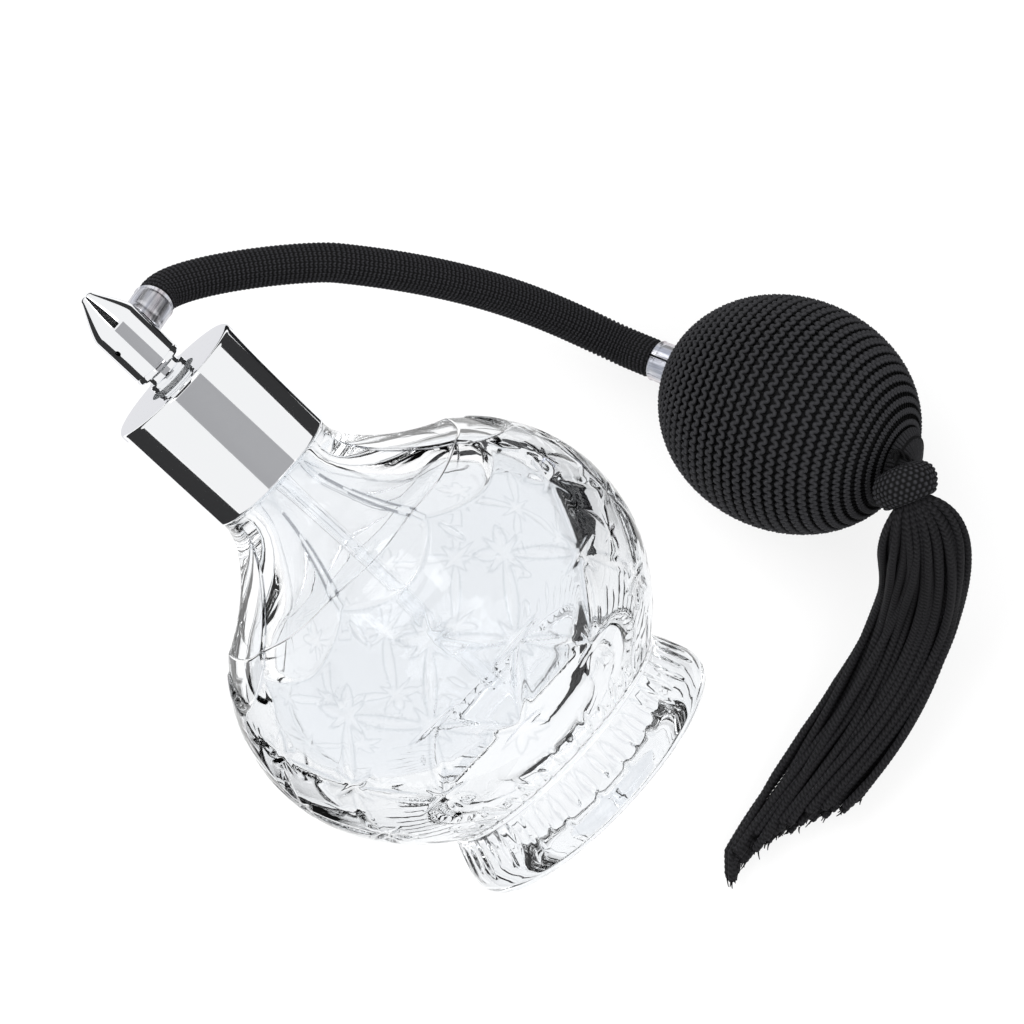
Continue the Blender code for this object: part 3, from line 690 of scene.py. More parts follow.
def make_bottle():
    outline, outside = bottle_outline()
    r, h = outline[:, 0][:, None], outline[:, 1][:, None]
    run = units(np.gradient(outline, axis=0))
    normal_r, normal_h = run[:, 1][:, None], -run[:, 0][:, None]
    s = distances(outline)
    theta = turns_of(COLUMNS)[None, :]
    outer = outline[:outside]
    grown = np.arange(len(outline))[:, None] < outside

    belly = (outer[:, 1] > WAIST_H) & (outer[:, 1] < FLARE_H)
    row_s = [float(np.interp(row, outer[belly, 1], s[:outside][belly])) for row, _ in STAR_ROWS]
    full_t, full_s, full_r, full_h = np.broadcast_arrays(theta, s[:, None], r, h)
    cut = np.zeros(full_t.shape)
    gaps = [0.0] + [abs(b - a) for a, b in zip(row_s, row_s[1:])] + [0.0]
    for i, (_, phase) in enumerate(STAR_ROWS):
        cut = np.maximum(cut, star_cut(full_t, full_s, full_r, row_s[i], phase, gaps[i], gaps[i + 1]))
    below_petals = np.clip((scallop_border(petal_across(theta)) - full_h) / 0.8, 0, 1)
    keep = below_petals * np.clip((full_h - 13.6) / 1.5, 0, 1)
    cut = np.maximum(cut * keep, fan_cut(full_t, full_h, full_r) * (full_h > 3.2) * (full_h < 22))
    cut = np.maximum(cut, petal_cut(full_t, full_h, full_r) * (full_h > 50))
    cut = np.where(grown & (full_h < THROAT_H + 0.4), cut, 0)
    rise = np.where(grown & (full_h > THROAT_H + 3), thread_rise(full_t, full_h), 0)
    move = rise - cut
    points = spun(full_r + normal_r * move, theta, full_h + normal_h * move).reshape(-1, 3)
    quads, uv = grid_quads(len(outline), COLUMNS)
    points = np.concatenate([points, [[0, 0, DISH_DEPTH], [0, 0, CAVITY_MID - CAVITY_HALF_H]]])
    tris = caps(len(outline), COLUMNS)
    thing = outward(make("bottle_cut_glass", bottle(points), quads, tris, padded(uv, tris)))
    # The leaf grooves' edges get 0, a painted dark outline; elsewhere the cut's depth sets the glass's painted
    # shade and highlight.
    depth = np.where(painted_leaf_outline(full_t, full_h, full_r) & grown, 0.0, PLAIN_RELIEF + 1.1 * cut)
    relief(thing, np.concatenate([depth.ravel(), [PLAIN_RELIEF, PLAIN_RELIEF]]))
    finish(thing, "clear_glass", body="bottle", node="bottle")
    thing.visible_shadow = thing.visible_diffuse = False


# ---------- collar, head and ferrules ----------

COLLAR_R, COLLAR_WALL, COLLAR_BOTTOM, COLLAR_TOP = 13.5, 0.5, 82.0, 105.8
HEAD_R, HEAD_WALL, HEAD_BOTTOM, HEAD_SHOULDER, HEAD_TIP = 4.7, 0.5, 109.0, 119.8, 127.3
FERRULE_R, FERRULE_WALL = 3.75, 0.35
FERRULE_START, FERRULE_END = 5.0, 10.6  # along the port
BULB_FERRULE_START, BULB_FERRULE_END = -28.6, -22.4  # along the bulb


def make_collar():
    inside, hole = COLLAR_R - COLLAR_WALL, 5.0
    shell = [
        (hole, COLLAR_TOP),
        *arc((COLLAR_R - 0.7, COLLAR_TOP - 0.7), (0.7, 0.7), 90, 0, 10),
        *arc((COLLAR_R - 0.6, COLLAR_BOTTOM + 0.6), (0.6, 0.6), 0, -90, 8),
        (inside, COLLAR_BOTTOM + 0.2),
        (inside, COLLAR_TOP - 0.9),
        (inside - 0.4, COLLAR_TOP - COLLAR_WALL),
        (hole, COLLAR_TOP - COLLAR_WALL),
    ]
    thing = lathe("collar_chrome_shell", shell, bottle, 160)
    finish(thing, "chrome", body="collar", node="collar_shell")


def bullet(radius, shoulder, tip, blunt, steps):
    start, end = (radius, shoulder), (blunt, tip - 0.8)
    nose = bezier([start, (radius - 0.2, shoulder + 1.6), (blunt + 0.9, tip - 2.4), end], steps)
    cap = arc((0, tip - 0.8), (blunt, 0.8), 0, 90, 8)
    return np.concatenate([nose, cap[1:]])


def cut_hole(thing, radius, start, end, name):
    """Drills a round hole along the port's line."""
    drill = lathe(name, [(0, start), (radius, start), (radius, end), (0, end)], port, 40, closed=False)
    change = thing.modifiers.new(name, "BOOLEAN")
    change.operation, change.solver, change.object = "DIFFERENCE", "EXACT", drill
    graph = bpy.context.evaluated_depsgraph_get()
    mesh = bpy.data.meshes.new_from_object(thing.evaluated_get(graph))
    thing.modifiers.clear()
    thing.data = mesh
    bpy.data.objects.remove(drill)


def make_head():
    outer = bullet(HEAD_R, HEAD_SHOULDER, HEAD_TIP, 1.3, 40)
    inner = bullet(HEAD_R - HEAD_WALL, HEAD_SHOULDER - 0.1, HEAD_TIP - 0.8, 0.8, 16)[::-1]
    foot = [(HEAD_R - HEAD_WALL, HEAD_BOTTOM), (HEAD_R - 0.25, HEAD_BOTTOM), (HEAD_R, HEAD_BOTTOM + 0.3)]
    groove = np.array([(HEAD_R, 109.8), (HEAD_R - 0.12, 109.95), (HEAD_R - 0.12, 110.15), (HEAD_R, 110.3)])
    outline = np.concatenate([inner, foot, groove, outer])
    outline[0, 0] = outline[-1, 0] = 0
    shell = lathe("head_chrome_bullet", outline, bottle, 128, closed=False)
    cut_hole(shell, 0.55, -7, -3, "nozzle_drill")
    cut_hole(shell, 2.3, 3, 7, "port_drill")
    shell.data.set_sharp_from_angle(angle=math.radians(32))
    finish(shell, "chrome", body="head", node="head_shell")

    ring = [(3.0, 106.2), (3.9, 106.2), (4.1, 106.4), (4.1, 106.75), (3.95, 106.9), (4.1, 107.05)]
    ring += [(4.1, 107.5), (3.9, 107.7), (3.3, 107.8), (3.3, 108.7), (3.0, 108.7)]
    finish(lathe("head_chrome_ring", ring, bottle, 96), "chrome", body="head", node="head_ring")


def saddle(place, start, seat):
    """A frame whose first stretch is shaped to sit on a round head of radius seat."""

    def bent(points):
        points = np.array(points, float)
        near = np.clip(1 - (points[..., 2] - start) / 2.0, 0, 1)
        sink = seat - np.sqrt(np.maximum(seat**2 - points[..., 1] ** 2, 0))
        points[..., 2] -= near * (sink + start - seat)
        return place(points)

    return bent


def ferrule(body, start, end, place, turn, rim_end, seat=None):
    """A body's rolled band, with a split seam, a crimp near each end and a curled rim at the hose."""
    inside = FERRULE_R - FERRULE_WALL
    outline = [(inside, start), (FERRULE_R - 0.15, start), (FERRULE_R, start + 0.15)]
    for h in np.linspace(start + 0.3, end - 0.3, 28):
        dent = sum(0.10 * math.exp(-(((h - crimp) / 0.25) ** 2)) for crimp in (start + 0.9, end - 0.9))
        curl = 0.10 * math.exp(-(((h - rim_end) / 0.28) ** 2))
        outline.append((FERRULE_R - dent + curl, h))
    outline += [(FERRULE_R, end - 0.15), (FERRULE_R - 0.15, end), (inside, end)]
    place = saddle(place, start, seat) if seat else place
    name = f"{body}_rolled_ferrule"
    thing = lathe(name, outline, place, 120, gap=0.09, turn=math.radians(turn), sharp=40)
    finish(thing, "ferrule_metal", body=body, node=f"{body}_ferrule")


def make_ferrules():
    ferrule("head", FERRULE_START, FERRULE_END, port, -100, FERRULE_END - 0.2, HEAD_R + 0.12)
    ferrule("bulb", BULB_FERRULE_START, BULB_FERRULE_END, bulb, 180, BULB_FERRULE_START + 0.2)


# ---------- hose ----------

TUBE_BORE_R, TUBE_R, SLEEVE_BORE_R, SLEEVE_R = 2.25, 2.85, 3.1, 3.55
HOSE_CREST = vec((-18.8, 65.2, 42.4)) + rest_shift
CREST_HEADING, CREST_SLOPE = math.radians(-1.1), -0.54
WALES, COURSE = 22, 0.86
TUBE_IN_HEAD, TUBE_IN_BULB = 5.2, 4.8  # how far the rubber tube goes into each ferrule
FIT = 0.3  # the sleeve's clearance from each ferrule
HEAD_BEND_STEP, BULB_BEND_STEP = 40, 107


def hose_line(spacing):
    """The hose's middle line, how far along it each point is, and the two points where it bends."""
    leave, arrive = bottle.x, bulb.z
    first = port([0, 0, FERRULE_END])
    entry = bulb([0, 0, BULB_FERRULE_START])
    last = entry - 4.2 * arrive
    along = unit(vec((math.cos(CREST_HEADING), math.sin(CREST_HEADING), CREST_SLOPE)))
    clear = first + 1.4 * leave
    rise = bezier([clear, clear + 7 * leave, HOSE_CREST - 6 * along, HOSE_CREST], 80)
    fall = bezier([HOSE_CREST, HOSE_CREST + 34 * along, last - 14 * arrive, last], 160)
    start, end = first - TUBE_IN_HEAD * leave, entry + TUBE_IN_BULB * arrive
    line = resample(np.concatenate([[start, first], rise, fall[1:], [entry, end]]), spacing)
    for _ in range(12):
        line[1:-1] = (line[:-2] + 2 * line[1:-1] + line[2:]) / 4
    lengths = distances(line)
    return line, lengths, rise[HEAD_BEND_STEP], fall[BULB_BEND_STEP]


def stand(line):
    """Steady across and up directions along a line."""
    along = units(np.gradient(line, axis=0))
    across = units(np.cross(along, [0, 0, 1.0]))
    return across, np.cross(across, along)


def hollow(line, across, up, outer, inner, cols):
    """A closed pipe whose outside may vary: outer has shape (rows, cols)."""
    turn = turns_of(cols)
    cos, sin = np.cos(turn)[None, :, None], np.sin(turn)[None, :, None]
    round_points = across[:, None, :] * cos + up[:, None, :] * sin
    out = line[:, None, :] + round_points * outer[..., None]
    back = np.linspace(len(line) - 1, 0, 40).astype(int)
    inn = line[back, None, :] + round_points[back] * inner
    points = np.concatenate([out, inn])
    quads, uv = grid_quads(len(points), cols, wrap_rows=True)
    return points.reshape(-1, 3), quads, uv.reshape(-1, 2)


def knit_height(turn, course):
    """The relief of a knitted tube: columns of V stitches, 0 to 1."""
    u = (turn * WALES / (2 * math.pi)) % 1 - 0.5
    v = course - 0.42 * np.abs(2 * u)
    leg = 0.5 + 0.5 * np.cos(2 * math.pi * v)
    return leg**0.8 * (1 - 0.75 * np.abs(2 * u) ** 4) * (0.45 + 0.55 * np.clip(np.abs(2 * u) * 4, 0, 1))


def make_hose():
    line, lengths, head_pivot, bulb_pivot = hose_line(COURSE / 6)
    across, up = stand(line)
    start = TUBE_IN_HEAD + FIT
    end = lengths[-1] - TUBE_IN_BULB - FIT
    split = lengths[np.argmin(np.linalg.norm(line - HOSE_CREST, axis=1))] + 24.0
    cols = WALES * 6
    turn = turns_of(cols)[None, :]
    knit = knit_height(turn, lengths[:, None] / COURSE)
    edge = np.clip(np.minimum(lengths - start, end - lengths)[:, None] / 0.5, 0, 1)
    outer = SLEEVE_R - 0.30 + 0.38 * knit * edge - 0.12 * (1 - edge)
    halves = (
        ("head", start, split, 0.0, head_pivot, 11, ("head", "hose")),
        ("bulb", split, end, lengths[-1], bulb_pivot, 15, ("hose", "bulb")),
    )
    for which, low, high, tube_end, pivot, half_bend, bodies in halves:
        rows = (lengths >= low - 0.08) & (lengths <= high + 0.08)
        points, quads, uv = hollow(line[rows], across[rows], up[rows], outer[rows], SLEEVE_BORE_R, cols)
        sleeve = outward(make(f"hose_knit_{which}_end", points, quads, uv=uv))
        # Painted highlight and shade: the stitches' proud parts are painted lighter and the gaps between them
        # darker; the inside keeps 0.
        painted_shade = np.zeros(len(points))
        painted_shade[: knit[rows].size] = knit[rows].ravel()
        relief(sleeve, painted_shade)
        low, high = min(low, tube_end), max(high, tube_end)
        rows = np.flatnonzero((lengths >= low - 0.08) & (lengths <= high + 0.08))[::4]
        smooth = np.full((len(rows), 24), TUBE_R)
        points, quads, uv = hollow(line[rows], across[rows], up[rows], smooth, TUBE_BORE_R, 24)
        tube = outward(make(f"hose_rubber_{which}_end", points, quads, uv=uv))
        finish(sleeve, "black_knit", "black_sleeve")
        finish(tube, "black_rubber")
        for thing in (sleeve, tube):
            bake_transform(thing)
        if which == "head":
            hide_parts("hose_sleeve")
            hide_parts("hose_tube")


# ---------- bulb ----------

STITCHES, COURSES, STITCH_STEPS = 72, 31, 12
NET_MID_INSET, WALE_INSET = 0.42, 0.68
TIE_R = 4.9


def squeeze(thing):
    """Gives a soft piece a mesh of its own."""
    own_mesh(thing)


def egg(inset, angle):
    """(radius, height) on the bulb's outline."""
    return (BULB_R - inset) * np.cos(angle), (BULB_HALF_L - inset) * np.sin(angle)


def wales(low, high):
    """The stitches' legs: a deeper layer of strands that run lengthwise over one part of the bulb."""
    angle = np.linspace(low, high, 60)
    r, h = egg(WALE_INSET, angle)
    theta = 2 * math.pi * (np.arange(STITCHES)[:, None] + 0.5) / STITCHES
    radius = np.broadcast_to(np.clip(r / BULB_R, 0.35, 1) * 0.30, (STITCHES, len(angle)))
    up = spun(1.0, theta + 0 * angle, 0.0)
    return strands(bulb(spun(r, theta, h)), radius, up @ bulb.axes, sides=5)


def gather():
    """The net's last stitches, drawn in over the valve and out to the tassel's loop."""
    steps, count = 16, 46
    line = bezier([(6.1, 23.5), (4.9, 24.8), (3.9, 26.0), (1.0, 26.6)], steps)
    theta = turns_of(count)[:, None]
    sway = 0.02 * np.sin(np.arange(count) * 2.4)[:, None] * np.linspace(0, 1, steps + 1)
    r, h = line[:, 0], line[:, 1]
    radius = np.broadcast_to(0.16 + 0.05 * r, (count, steps + 1))
    up = spun(1.0, theta + 0 * r, 0.8)
    return strands(bulb(spun(r, theta + sway, h)), radius, up @ bulb.axes, sides=6)


def make_net():
    """Knitted courses round the bulb: each is one yarn whose loops reach towards the next course."""
    angles = np.linspace(-math.acos(4.6 / BULB_R), math.acos(4.6 / BULB_R), 2000)
    r, h = egg(0, angles)
    lengths = np.concatenate([[0], np.cumsum(np.hypot(np.diff(r), np.diff(h)))])
    spacing = lengths[-1] / (COURSES - 0.3)
    t = 2 * math.pi * np.arange(STITCHES * STITCH_STEPS) / STITCH_STEPS
    courses, normals, radii = [], [], []
    for c in range(COURSES):
        centre = spacing * (c + 0.35)
        here = np.interp(centre, lengths, r)
        width = 2 * math.pi * here / STITCHES
        thin = np.clip(width / 1.5, 0.45, 1.0)
        along = centre + 0.22 * spacing * np.cos(t) * (0.85 + 0.15 * thin)
        angle = np.interp(along, lengths, angles)
        theta = (t + 0.15 * np.sin(2 * t)) / STITCHES
        lift = 0.12 * np.cos(2 * t) * thin
        er, eh = egg(NET_MID_INSET - lift, angle)
        courses.append(spun(er, theta, eh))
        normals.append(spun(np.cos(angle), theta, np.sin(angle) * BULB_R / BULB_HALF_L))
        radii.append(0.44 * thin + 0 * t)
    courses, normals, radii = np.array(courses), np.array(normals), np.array(radii)
    half = COURSES // 2
    halves = (
        ("hose_side", slice(0, half), angles[0], 0.0),
        ("tassel_side", slice(half, None), 0.0, angles[-1]),
    )
    for name, rows, low, high in halves:
        ups = normals[rows] @ bulb.axes
        rounds = strands(bulb(courses[rows]), radii[rows], ups, sides=5, closed=True)
        extra = [wales(low, high)] + ([gather()] if high else [])
        points, quads, tris, uv = join_parts([rounds] + extra)
        thing = make(f"bulb_knit_net_{name}", points, quads, tris, uv * [1, STITCHES])
        # Painted highlight and shade: each course is painted lighter on its outer side and darker on its inner
        # side, the gather a little darker, and the wales keep 0, the darkest, as painted shade under the courses.
        painted_shade = np.zeros(len(points))
        painted_shade[: len(rounds[0])] = strand_painted_shade(len(rounds[0]) // 5, 5)
        if high:
            count = len(extra[1][0])
            painted_shade[-count:] = 0.7 * strand_painted_shade(count // 6, 6)
        relief(thing, painted_shade)
        finish(thing, "black_knit", body="bulb", node="bulb_net")
        squeeze(thing)


def make_rubber_bulb():
    outside = math.degrees(math.acos(4.1 / (BULB_R - 0.85)))
    outer = arc((0, 0), (BULB_R - 0.85, BULB_HALF_L - 0.85), -outside, outside, 64)
    inside = math.degrees(math.acos(4.1 / (BULB_R - 2.65)))
    inner = arc((0, 0), (BULB_R - 2.65, BULB_HALF_L - 2.65), inside, -inside, 32)
    thing = lathe("bulb_rubber", np.concatenate([outer, inner]), bulb, 96)
    squeeze(finish(thing, "black_rubber", body="bulb", node="bulb"))


def make_tie():
    """The cord that gathers the net at its far end, wound three times round."""
    turns, steps = 3.0, 260
    a = np.linspace(0, 2 * math.pi * turns, steps)
    tie_z = BULB_HALF_L * math.sqrt(1 - (5.0 / BULB_R) ** 2) + 0.35
    path = spun(TIE_R, a, tie_z + 0.55 * a / a[-1])
    strand = strands(bulb(path)[None], 0.34, bulb.z, sides=8)
    squeeze(cord("net_tie_cord", strand, 60, "bulb", "net_tie"))


# ---------- tassel ----------

CORDS = 72
CORD_R = 0.80
KNOT_FLAT = 0.7
GOLDEN_ANGLE = 2.399963  # in radians: spreads the cords evenly over the bundle
LOOP_START_H, LOOP_END_H = 26.35, -4.3  # along the bulb, and along the knot


def fringe_line():
    """The bundle's middle line and half widths and depths along it."""
    start, leave = knot([0, 0, -1.6]), knot([0, 0, 3.0])
    bend, bend_along = vec((82.4, 1.5, 13.0)) + rest_shift, unit(vec((-0.36, -0.87, -0.33)))
    tip, tip_along = vec((54.9, -39.5, 3.2)) + rest_shift, unit(vec((-0.56, -0.83, 0)))
    drop = bezier([leave, leave + 9 * knot.z, bend - 11 * bend_along, bend], 70)
    lie = bezier([bend, bend + 18 * bend_along, tip - 20 * tip_along, tip], 70)
    line = np.concatenate([np.linspace(start, leave, 10)[:-1], drop, lie[1:]])
    run = distances(line)
    run = np.maximum(run - np.linalg.norm(leave - start), 0)
    share = run / run[-1]
    taper = 1 - 0.12 * share - 0.16 * np.clip((share - 0.7) / 0.3, 0, 1)
    widths = (2.4 + 6.9 * (1 - np.exp(-run / 4.0))) * taper
    depths = (1.55 + 3.4 * (1 - np.exp(-run / 9.0))) * taper
    return line, widths, np.minimum(depths, np.maximum(line[:, 2], 1.0))


def cord_texture(turn, along):
    """The fine knit of a cord: three columns of V stitches round it."""
    u = (turn * 3 / (2 * math.pi)) % 1 - 0.5
    return 0.5 + 0.5 * np.cos(2 * math.pi * (along / 0.9 - 0.5 * np.abs(2 * u)))


def make_fringe():
    """The loose cords, each a little different, with three stray hairs at each one's end."""
    line, widths, depths = fringe_line()
    across, up = stand(line)
    lengths = distances(line)
    draw = np.random.default_rng(20)
    sides, step = 10, 0.32
    parts, frays, painted_shades = [], [], []
    end_way, extra = unit(vec((-0.12, -0.99, 0))), 24
    past = 0.5 * np.arange(1, extra + 1)
    line = np.concatenate([line, line[-1] + end_way * past[:, None]])
    across, up = (np.concatenate([a, np.repeat(a[-1:], extra, 0)]) for a in (across, up))
    widths, depths = (np.concatenate([a, np.linspace(a[-1], a[-1] * 0.7, extra)]) for a in (widths, depths))
    full = lengths[-1]
    lengths = np.concatenate([lengths, full + past])
    for i in range(CORDS):
        rho = math.sqrt((i + 0.5) / CORDS)
        angle = i * GOLDEN_ANGLE + 0.4
        a, b = rho * math.cos(angle), rho * math.sin(angle)
        share = 0.5 + 0.5 * a  # 0 at the inner side of the curve and 1 at the outer
        inner = share if across[-1][0] < 0 else 1 - share
        reach = full * (0.81 + 0.29 * inner**1.5) - draw.uniform(0, 4.0)
        at = np.arange(0, reach, step)
        wander = 0.10 * np.sin(at / draw.uniform(9, 16) + draw.uniform(0, 6.28))
        wander_b = 0.12 * np.sin(at / draw.uniform(7, 13) + draw.uniform(0, 6.28))
        spread = np.clip((at - 3) / 14, 0, 1)
        radius = 0.42 + (CORD_R - 0.42) * spread**0.7
        w = np.interp(at, lengths, widths) - radius
        d = np.interp(at, lengths, depths) - radius * 0.9
        pa = np.clip(a + wander * spread, -1, 1)
        pb = np.clip(b + wander_b * spread, -1, 1)
        centre, ax, upv = (look_up(at, lengths, rows) for rows in (line, across, up))
        path = centre + ax * (w * pa)[:, None] + upv * (d * pb)[:, None]
        path[:, 2] = np.maximum(path[:, 2], radius + 0.1)
        turn = turns_of(sides)
        twisted = cord_texture(turn[None, :] + 0.2 * at[:, None] * 0.3, at[:, None])
        swell = radius[:, None] * (0.9 + 0.16 * twisted)
        end = np.clip((reach - at) / 0.8, 0, 1)[:, None] ** 0.5
        radii = (swell * (0.55 + 0.45 * end))[None]
        parts.append(strands(path[None], radii, unit(vec((1, 0.3, 0.2))), sides=sides))
        # Painted highlight and shade: each cord is painted lighter on its stitches' crests and darker in the
        # grooves between them.
        painted_shades.append(cord_texture(turn[None, :], at[:, None]).ravel() * 0.8 + 0.15)
        tip, aim = path[-1], unit(path[-1] - path[-8])
        for _ in range(3):
            stray = unit(aim + draw.normal(0, 0.2, 3))
            reach_out = draw.uniform(0.7, 1.7)
            q = np.linspace(0, 1, 6)[:, None]
            root = tip - aim * 0.5 + draw.normal(0, 0.35, 3)
            hair = root + stray * reach_out * q + draw.normal(0, 0.25, 3) * q * q
            hair[:, 2] = np.maximum(hair[:, 2], 0.3)
            thin = (0.2 * (1 - 0.6 * q[:, 0]))[None]
            frays.append(strands(hair[None], thin, unit(vec((1, 0.3, 0.9))), sides=5))
    third = (CORDS + 2) // 3
    for k in range(3):
        these = slice(k * third, (k + 1) * third)
        node = "tassel_fringe" if k == 0 else None
        thing = cord(f"tassel_cords_{k + 1}", join_parts(parts[these]), 80, "tassel", node)
        relief(thing, np.concatenate(painted_shades[these]))
    cord("tassel_frayed_ends", join_parts(frays), 1, "tassel")


def make_knot():
    """The knitted band that gathers the cords, lumpy with rows of small loops, and the binding thread
    wound inside it."""
    smooth = bezier([(1.9, -3.0), (5.2, -3.5), (6.3, -0.6), (5.9, 0.9)], 40)
    lower = bezier([(5.9, 0.9), (5.6, 2.4), (4.9, 3.5), (4.1, 3.5)], 16)
    back = np.array([(3.8, 2.8), (3.8, -0.6), (2.7, -1.8), (1.9, -2.1)])
    outside = resample(np.concatenate([smooth, lower[1:]]), 0.1)
    inside = resample(back, 0.5)
    body = np.concatenate([outside, inside])
    cols = 260
    turn = turns_of(cols)[None, :]
    run = distances(outside)
    s = np.concatenate([run, np.full(len(inside), run[-1])])[:, None]
    loops = 30
    row = s / 0.95
    shifted = turn * loops + np.floor(row) * math.pi + 0.8 * np.sin(3 * turn)
    bead = np.abs(np.sin(math.pi * row)) ** 0.6 * (0.55 + 0.45 * np.cos(shifted))
    folds = 0.22 * np.sin(5 * turn + 0.5 * s) + 0.13 * np.sin(9 * turn + 1.3)
    grown = (np.arange(len(body)) < len(outside))[:, None]
    taper = np.clip(np.minimum(s, run[-1] - s) / 0.6, 0, 1)
    lift = np.where(grown, (0.34 * bead - 0.3 + folds * 0.7) * taper, 0)
    r = body[:, 0][:, None] + lift
    h = body[:, 1][:, None] + 0.15 * np.sin(2 * turn + 1) * taper + 0 * r
    points = np.stack([r * np.cos(turn), KNOT_FLAT * r * np.sin(turn), h], 2).reshape(-1, 3)
    quads, uv = grid_quads(len(body), cols, wrap_rows=True)
    thing = outward(make("tassel_knit_knot", knot(points), quads, uv=uv.reshape(-1, 2)))
    finish(thing, "black_knit", "black_sleeve", body="tassel", node="tassel_knot")
    # Painted highlight and shade: the knot is painted lighter on its loops' crests and darker between them and on
    # its inside.
    relief(thing, (bead * grown).ravel())

    steps, turns = 420, 6
    a = np.linspace(0, 2 * math.pi * turns, steps)
    path = np.stack([3.25 * np.cos(a), KNOT_FLAT * 3.25 * np.sin(a), -0.7 + 2.6 * a / a[-1]], 1)
    strand = strands(knot(path)[None], 0.25, knot.z, sides=7)
    cord("tassel_binding_thread", strand, 90, "tassel", "tassel_binding")


def make_loop():
    """The cord from the bulb's valve into the knot: two plies twisted together."""
    start, end = bulb([0, 0, LOOP_START_H]), knot([0, 0, LOOP_END_H])
    path = bezier([start, start + 1.2 * bulb.z, end - 4.5 * knot.z, end], 70)
    along = units(np.gradient(path, axis=0))
    side = units(np.cross(along, [1, 0, 0]))
    other = np.cross(along, side)
    a = np.linspace(0, 6 * math.pi, len(path))[:, None]
    plies = [path + 0.26 * s * (side * np.cos(a) + other * np.sin(a)) for s in (1, -1)]
    thing = cord("tassel_loop_cord", strands(plies, 0.27, np.array([1.0, 0, 0]), sides=8), 12)
    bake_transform(thing)
    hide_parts("tassel_loop")


# ---------- CAD pieces that keep their shape ----------

SLOTS = {part["node"]: part["material_slot"] for part in frame["record"]["subparts"]}
KEPT = (
    "stem_housing", "dip_tube", "neck_gasket", "collar_insert", "head_core", "nozzle_insert",
    "hose_barb", "stem_oring", "bulb_barb", "valve_body", "valve_retainer", "valve_ball",
)

make_bottle()
make_collar()
make_head()
make_ferrules()
make_hose()
make_rubber_bulb()
make_net()
make_tie()
make_fringe()
make_knot()
make_loop()
for name in KEPT:
    finish(frame["nodes"][name], SLOTS[name])


# ---------- stage, light and camera ----------


def card(name, centre, aim, width, height, material, along=None):
    """A flat studio card that faces a point. along is the direction its width runs in."""
    mesh = bpy.data.meshes.new(name)
    w, h = width / 2, height / 2
    mesh.from_pydata([(-w, -h, 0), (w, -h, 0), (w, h, 0), (-w, h, 0)], [], [(0, 1, 2, 3)])
    thing = put(name, mesh)
    facing = (Vector(aim) - Vector(centre)).normalized()
    if along is None:
        turn = facing.to_track_quat("Z", "Y").to_matrix()
    else:
        up = facing.cross(Vector(along)).normalized()
        turn = Matrix((up.cross(facing), up, facing)).transposed()
    thing.matrix_world = Matrix.Translation(Vector(centre)) @ turn.to_4x4()
    mesh.materials.append(material)
    return thing


def flag(name, centre, aim, width, height, shade, along=None):
    """A card that only shows in reflections, as a studio's dark flags do. Light that has been
    inside the glass passes it, so that it doesn't blacken the bottle."""
    m = Nodes(name)
    nodes, links = m.tree.nodes, m.tree.links
    glow = m.add("ShaderNodeEmission", Color=(shade, shade, shade * 1.03, 1), Strength=1.0)
    clear = m.add("ShaderNodeBsdfTransparent")
    inside = m.add("ShaderNodeLightPath").outputs["Transmission Depth"]
    mix = m.add("ShaderNodeMixShader", Fac=m.span(inside, 0.0, 1.0))
    links.new(glow.outputs[0], mix.inputs[1])
    links.new(clear.outputs[0], mix.inputs[2])
    links.new(mix.outputs[0], nodes["Material Output"].inputs["Surface"])
    nodes.remove(m.shader)
    thing = card(name, centre, aim, width, height, m.material, along)
    thing.visible_camera = thing.visible_diffuse = thing.visible_shadow = False
    thing.visible_transmission = False
    return thing


def paper_material():
    """Grey paper that glows, so that the floor looks white and the shadows on it stay faint."""
    m = Nodes("floor_paper")
    m.set(Base_Color=(0.20, 0.20, 0.20, 1), Roughness=0.9, Specular_IOR_Level=0.1)
    m.set(Emission_Color=(1, 1, 1, 1), Emission_Strength=0.78)
    return m.material


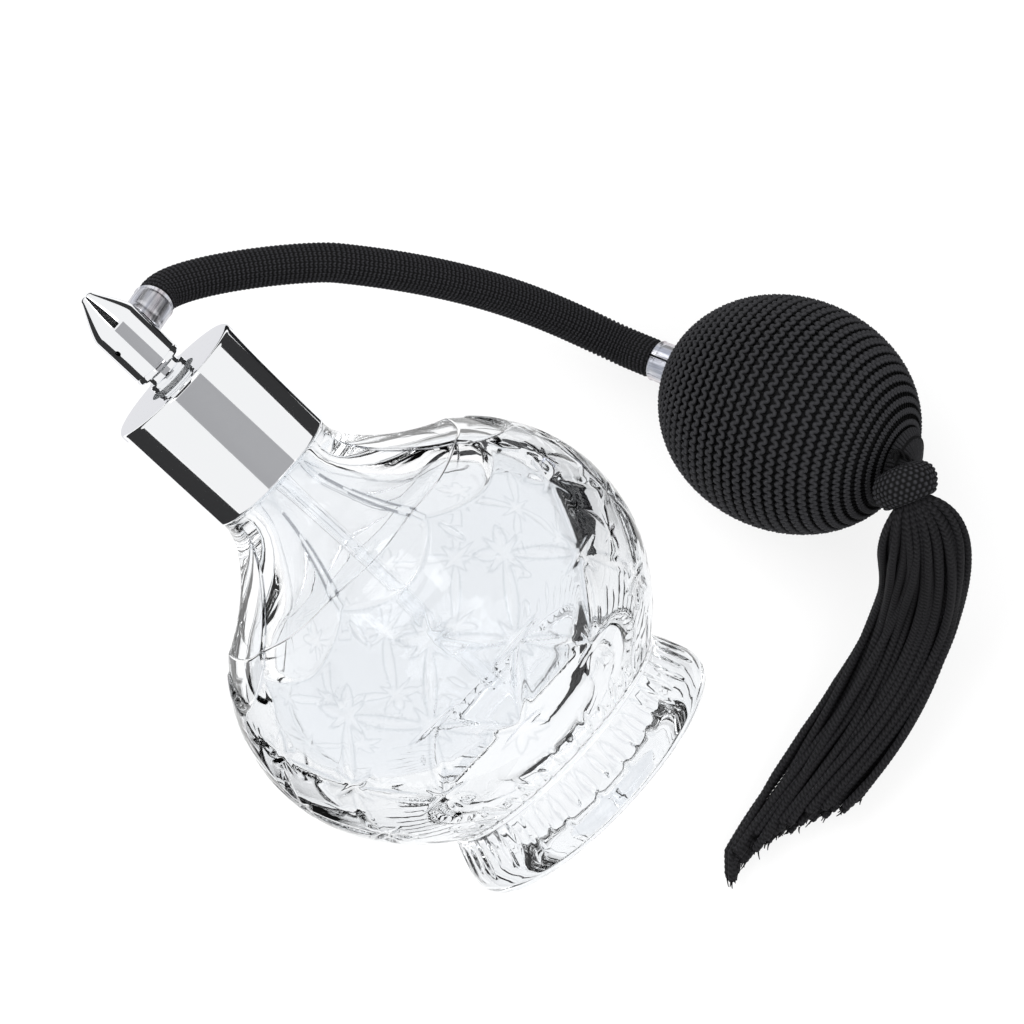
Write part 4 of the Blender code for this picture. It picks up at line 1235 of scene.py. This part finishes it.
def make_flags():
    """The cards that the chrome mirrors: three on the ground round the collar and two above."""
    collar = Vector(bottle([0, 0, COLLAR_MID_H])) * MM
    ahead = Vector((bottle.z[0], bottle.z[1], 0)).normalized()
    beside = Vector((-ahead.y, ahead.x, 0)) * -1
    ground = Vector((collar.x, collar.y, 0.0003))
    for name, near, far in (("flag_upper", 0.093, 1.2), ("flag_lower", -1.0, -0.060)):
        centre = ground + beside * (near + far) / 2 + ahead * 0.35
        flag(name, centre, centre + Vector((0, 0, 1)), far - near, 1.4, 0.035, beside)
    centre = collar + Vector((0.55, -0.38, 0.72)).normalized() * 0.8 + Vector(bottle.z) * 0.10
    flag("flag_grey", centre, collar, 0.80, 0.56, 0.40, (0.44, 0.545, -0.07))
    top = Vector(bottle([0, 0, COLLAR_TOP])) * MM
    front = Vector((top.x, top.y, 0.0004)) + ahead * 0.040
    flag("flag_front", front, front + Vector((0, 0, 1)), 0.075, 0.06, 0.80, beside)
    over = (CAMERA_FROM.normalized() + 0.9 * Vector(bottle.z)).normalized()
    flag("flag_tip", collar + over * 0.9, collar, 0.50, 1.0, 0.01, beside)


FLOOR_Z, FLOOR_SIDE = -0.0004, 6  # in metres


def make_stage():
    place, above = (CENTRE.x, CENTRE.y, FLOOR_Z), (CENTRE.x, CENTRE.y, 1)
    card("floor", place, above, FLOOR_SIDE, FLOOR_SIDE, paper_material())
    world = bpy.data.worlds.new("studio")
    world.use_nodes = True
    world.node_tree.nodes["Background"].inputs["Color"].default_value = (1.0, 1.0, 1.0, 1)
    world.node_tree.nodes["Background"].inputs["Strength"].default_value = 0.95
    bpy.context.scene.world = world
    make_flags()
    lamps = (("key", (-0.5, 0.45, 1.0), 0.9, 9.0), ("fill", (0.7, -0.3, 0.9), 0.8, 4.0))
    for name, place, size, power in lamps:
        lamp = bpy.data.lights.new(name, "AREA")
        lamp.shape, lamp.size, lamp.energy = "SQUARE", size, power
        thing = put(name, lamp)
        thing.location = place
        thing.rotation_euler = (Vector(place) - CENTRE).to_track_quat("Z", "Y").to_euler()


CAMERA_FROM = Vector((80.3, -143.2, 1141.5))  # from the aim to the camera, in millimetres
CAMERA_AIM_OFFSET = Vector((-5.10, 12.01, -19.4))  # from the middle of the object to the aim
CAMERA_UP = Vector((-0.0092, 1, 0))
CAMERA_FIELD = math.radians(9.14)


def make_camera():
    camera = put("camera", bpy.data.cameras.new("camera"))
    aim = CENTRE + CAMERA_AIM_OFFSET * MM
    camera.location = aim + CAMERA_FROM * MM
    back = CAMERA_FROM.normalized()
    right = CAMERA_UP.cross(back).normalized()
    camera.rotation_euler = Matrix((right, back.cross(right), back)).transposed().to_euler()
    camera.data.sensor_width = 36.0
    camera.data.lens = 18.0 / math.tan(CAMERA_FIELD / 2)
    camera.data.clip_start, camera.data.clip_end = 0.01, 20
    bpy.context.scene.camera = camera


make_stage()
make_camera()
scene = bpy.context.scene
scene.view_settings.view_transform = "Standard"
scene.cycles.max_bounces = scene.cycles.transmission_bounces = 32
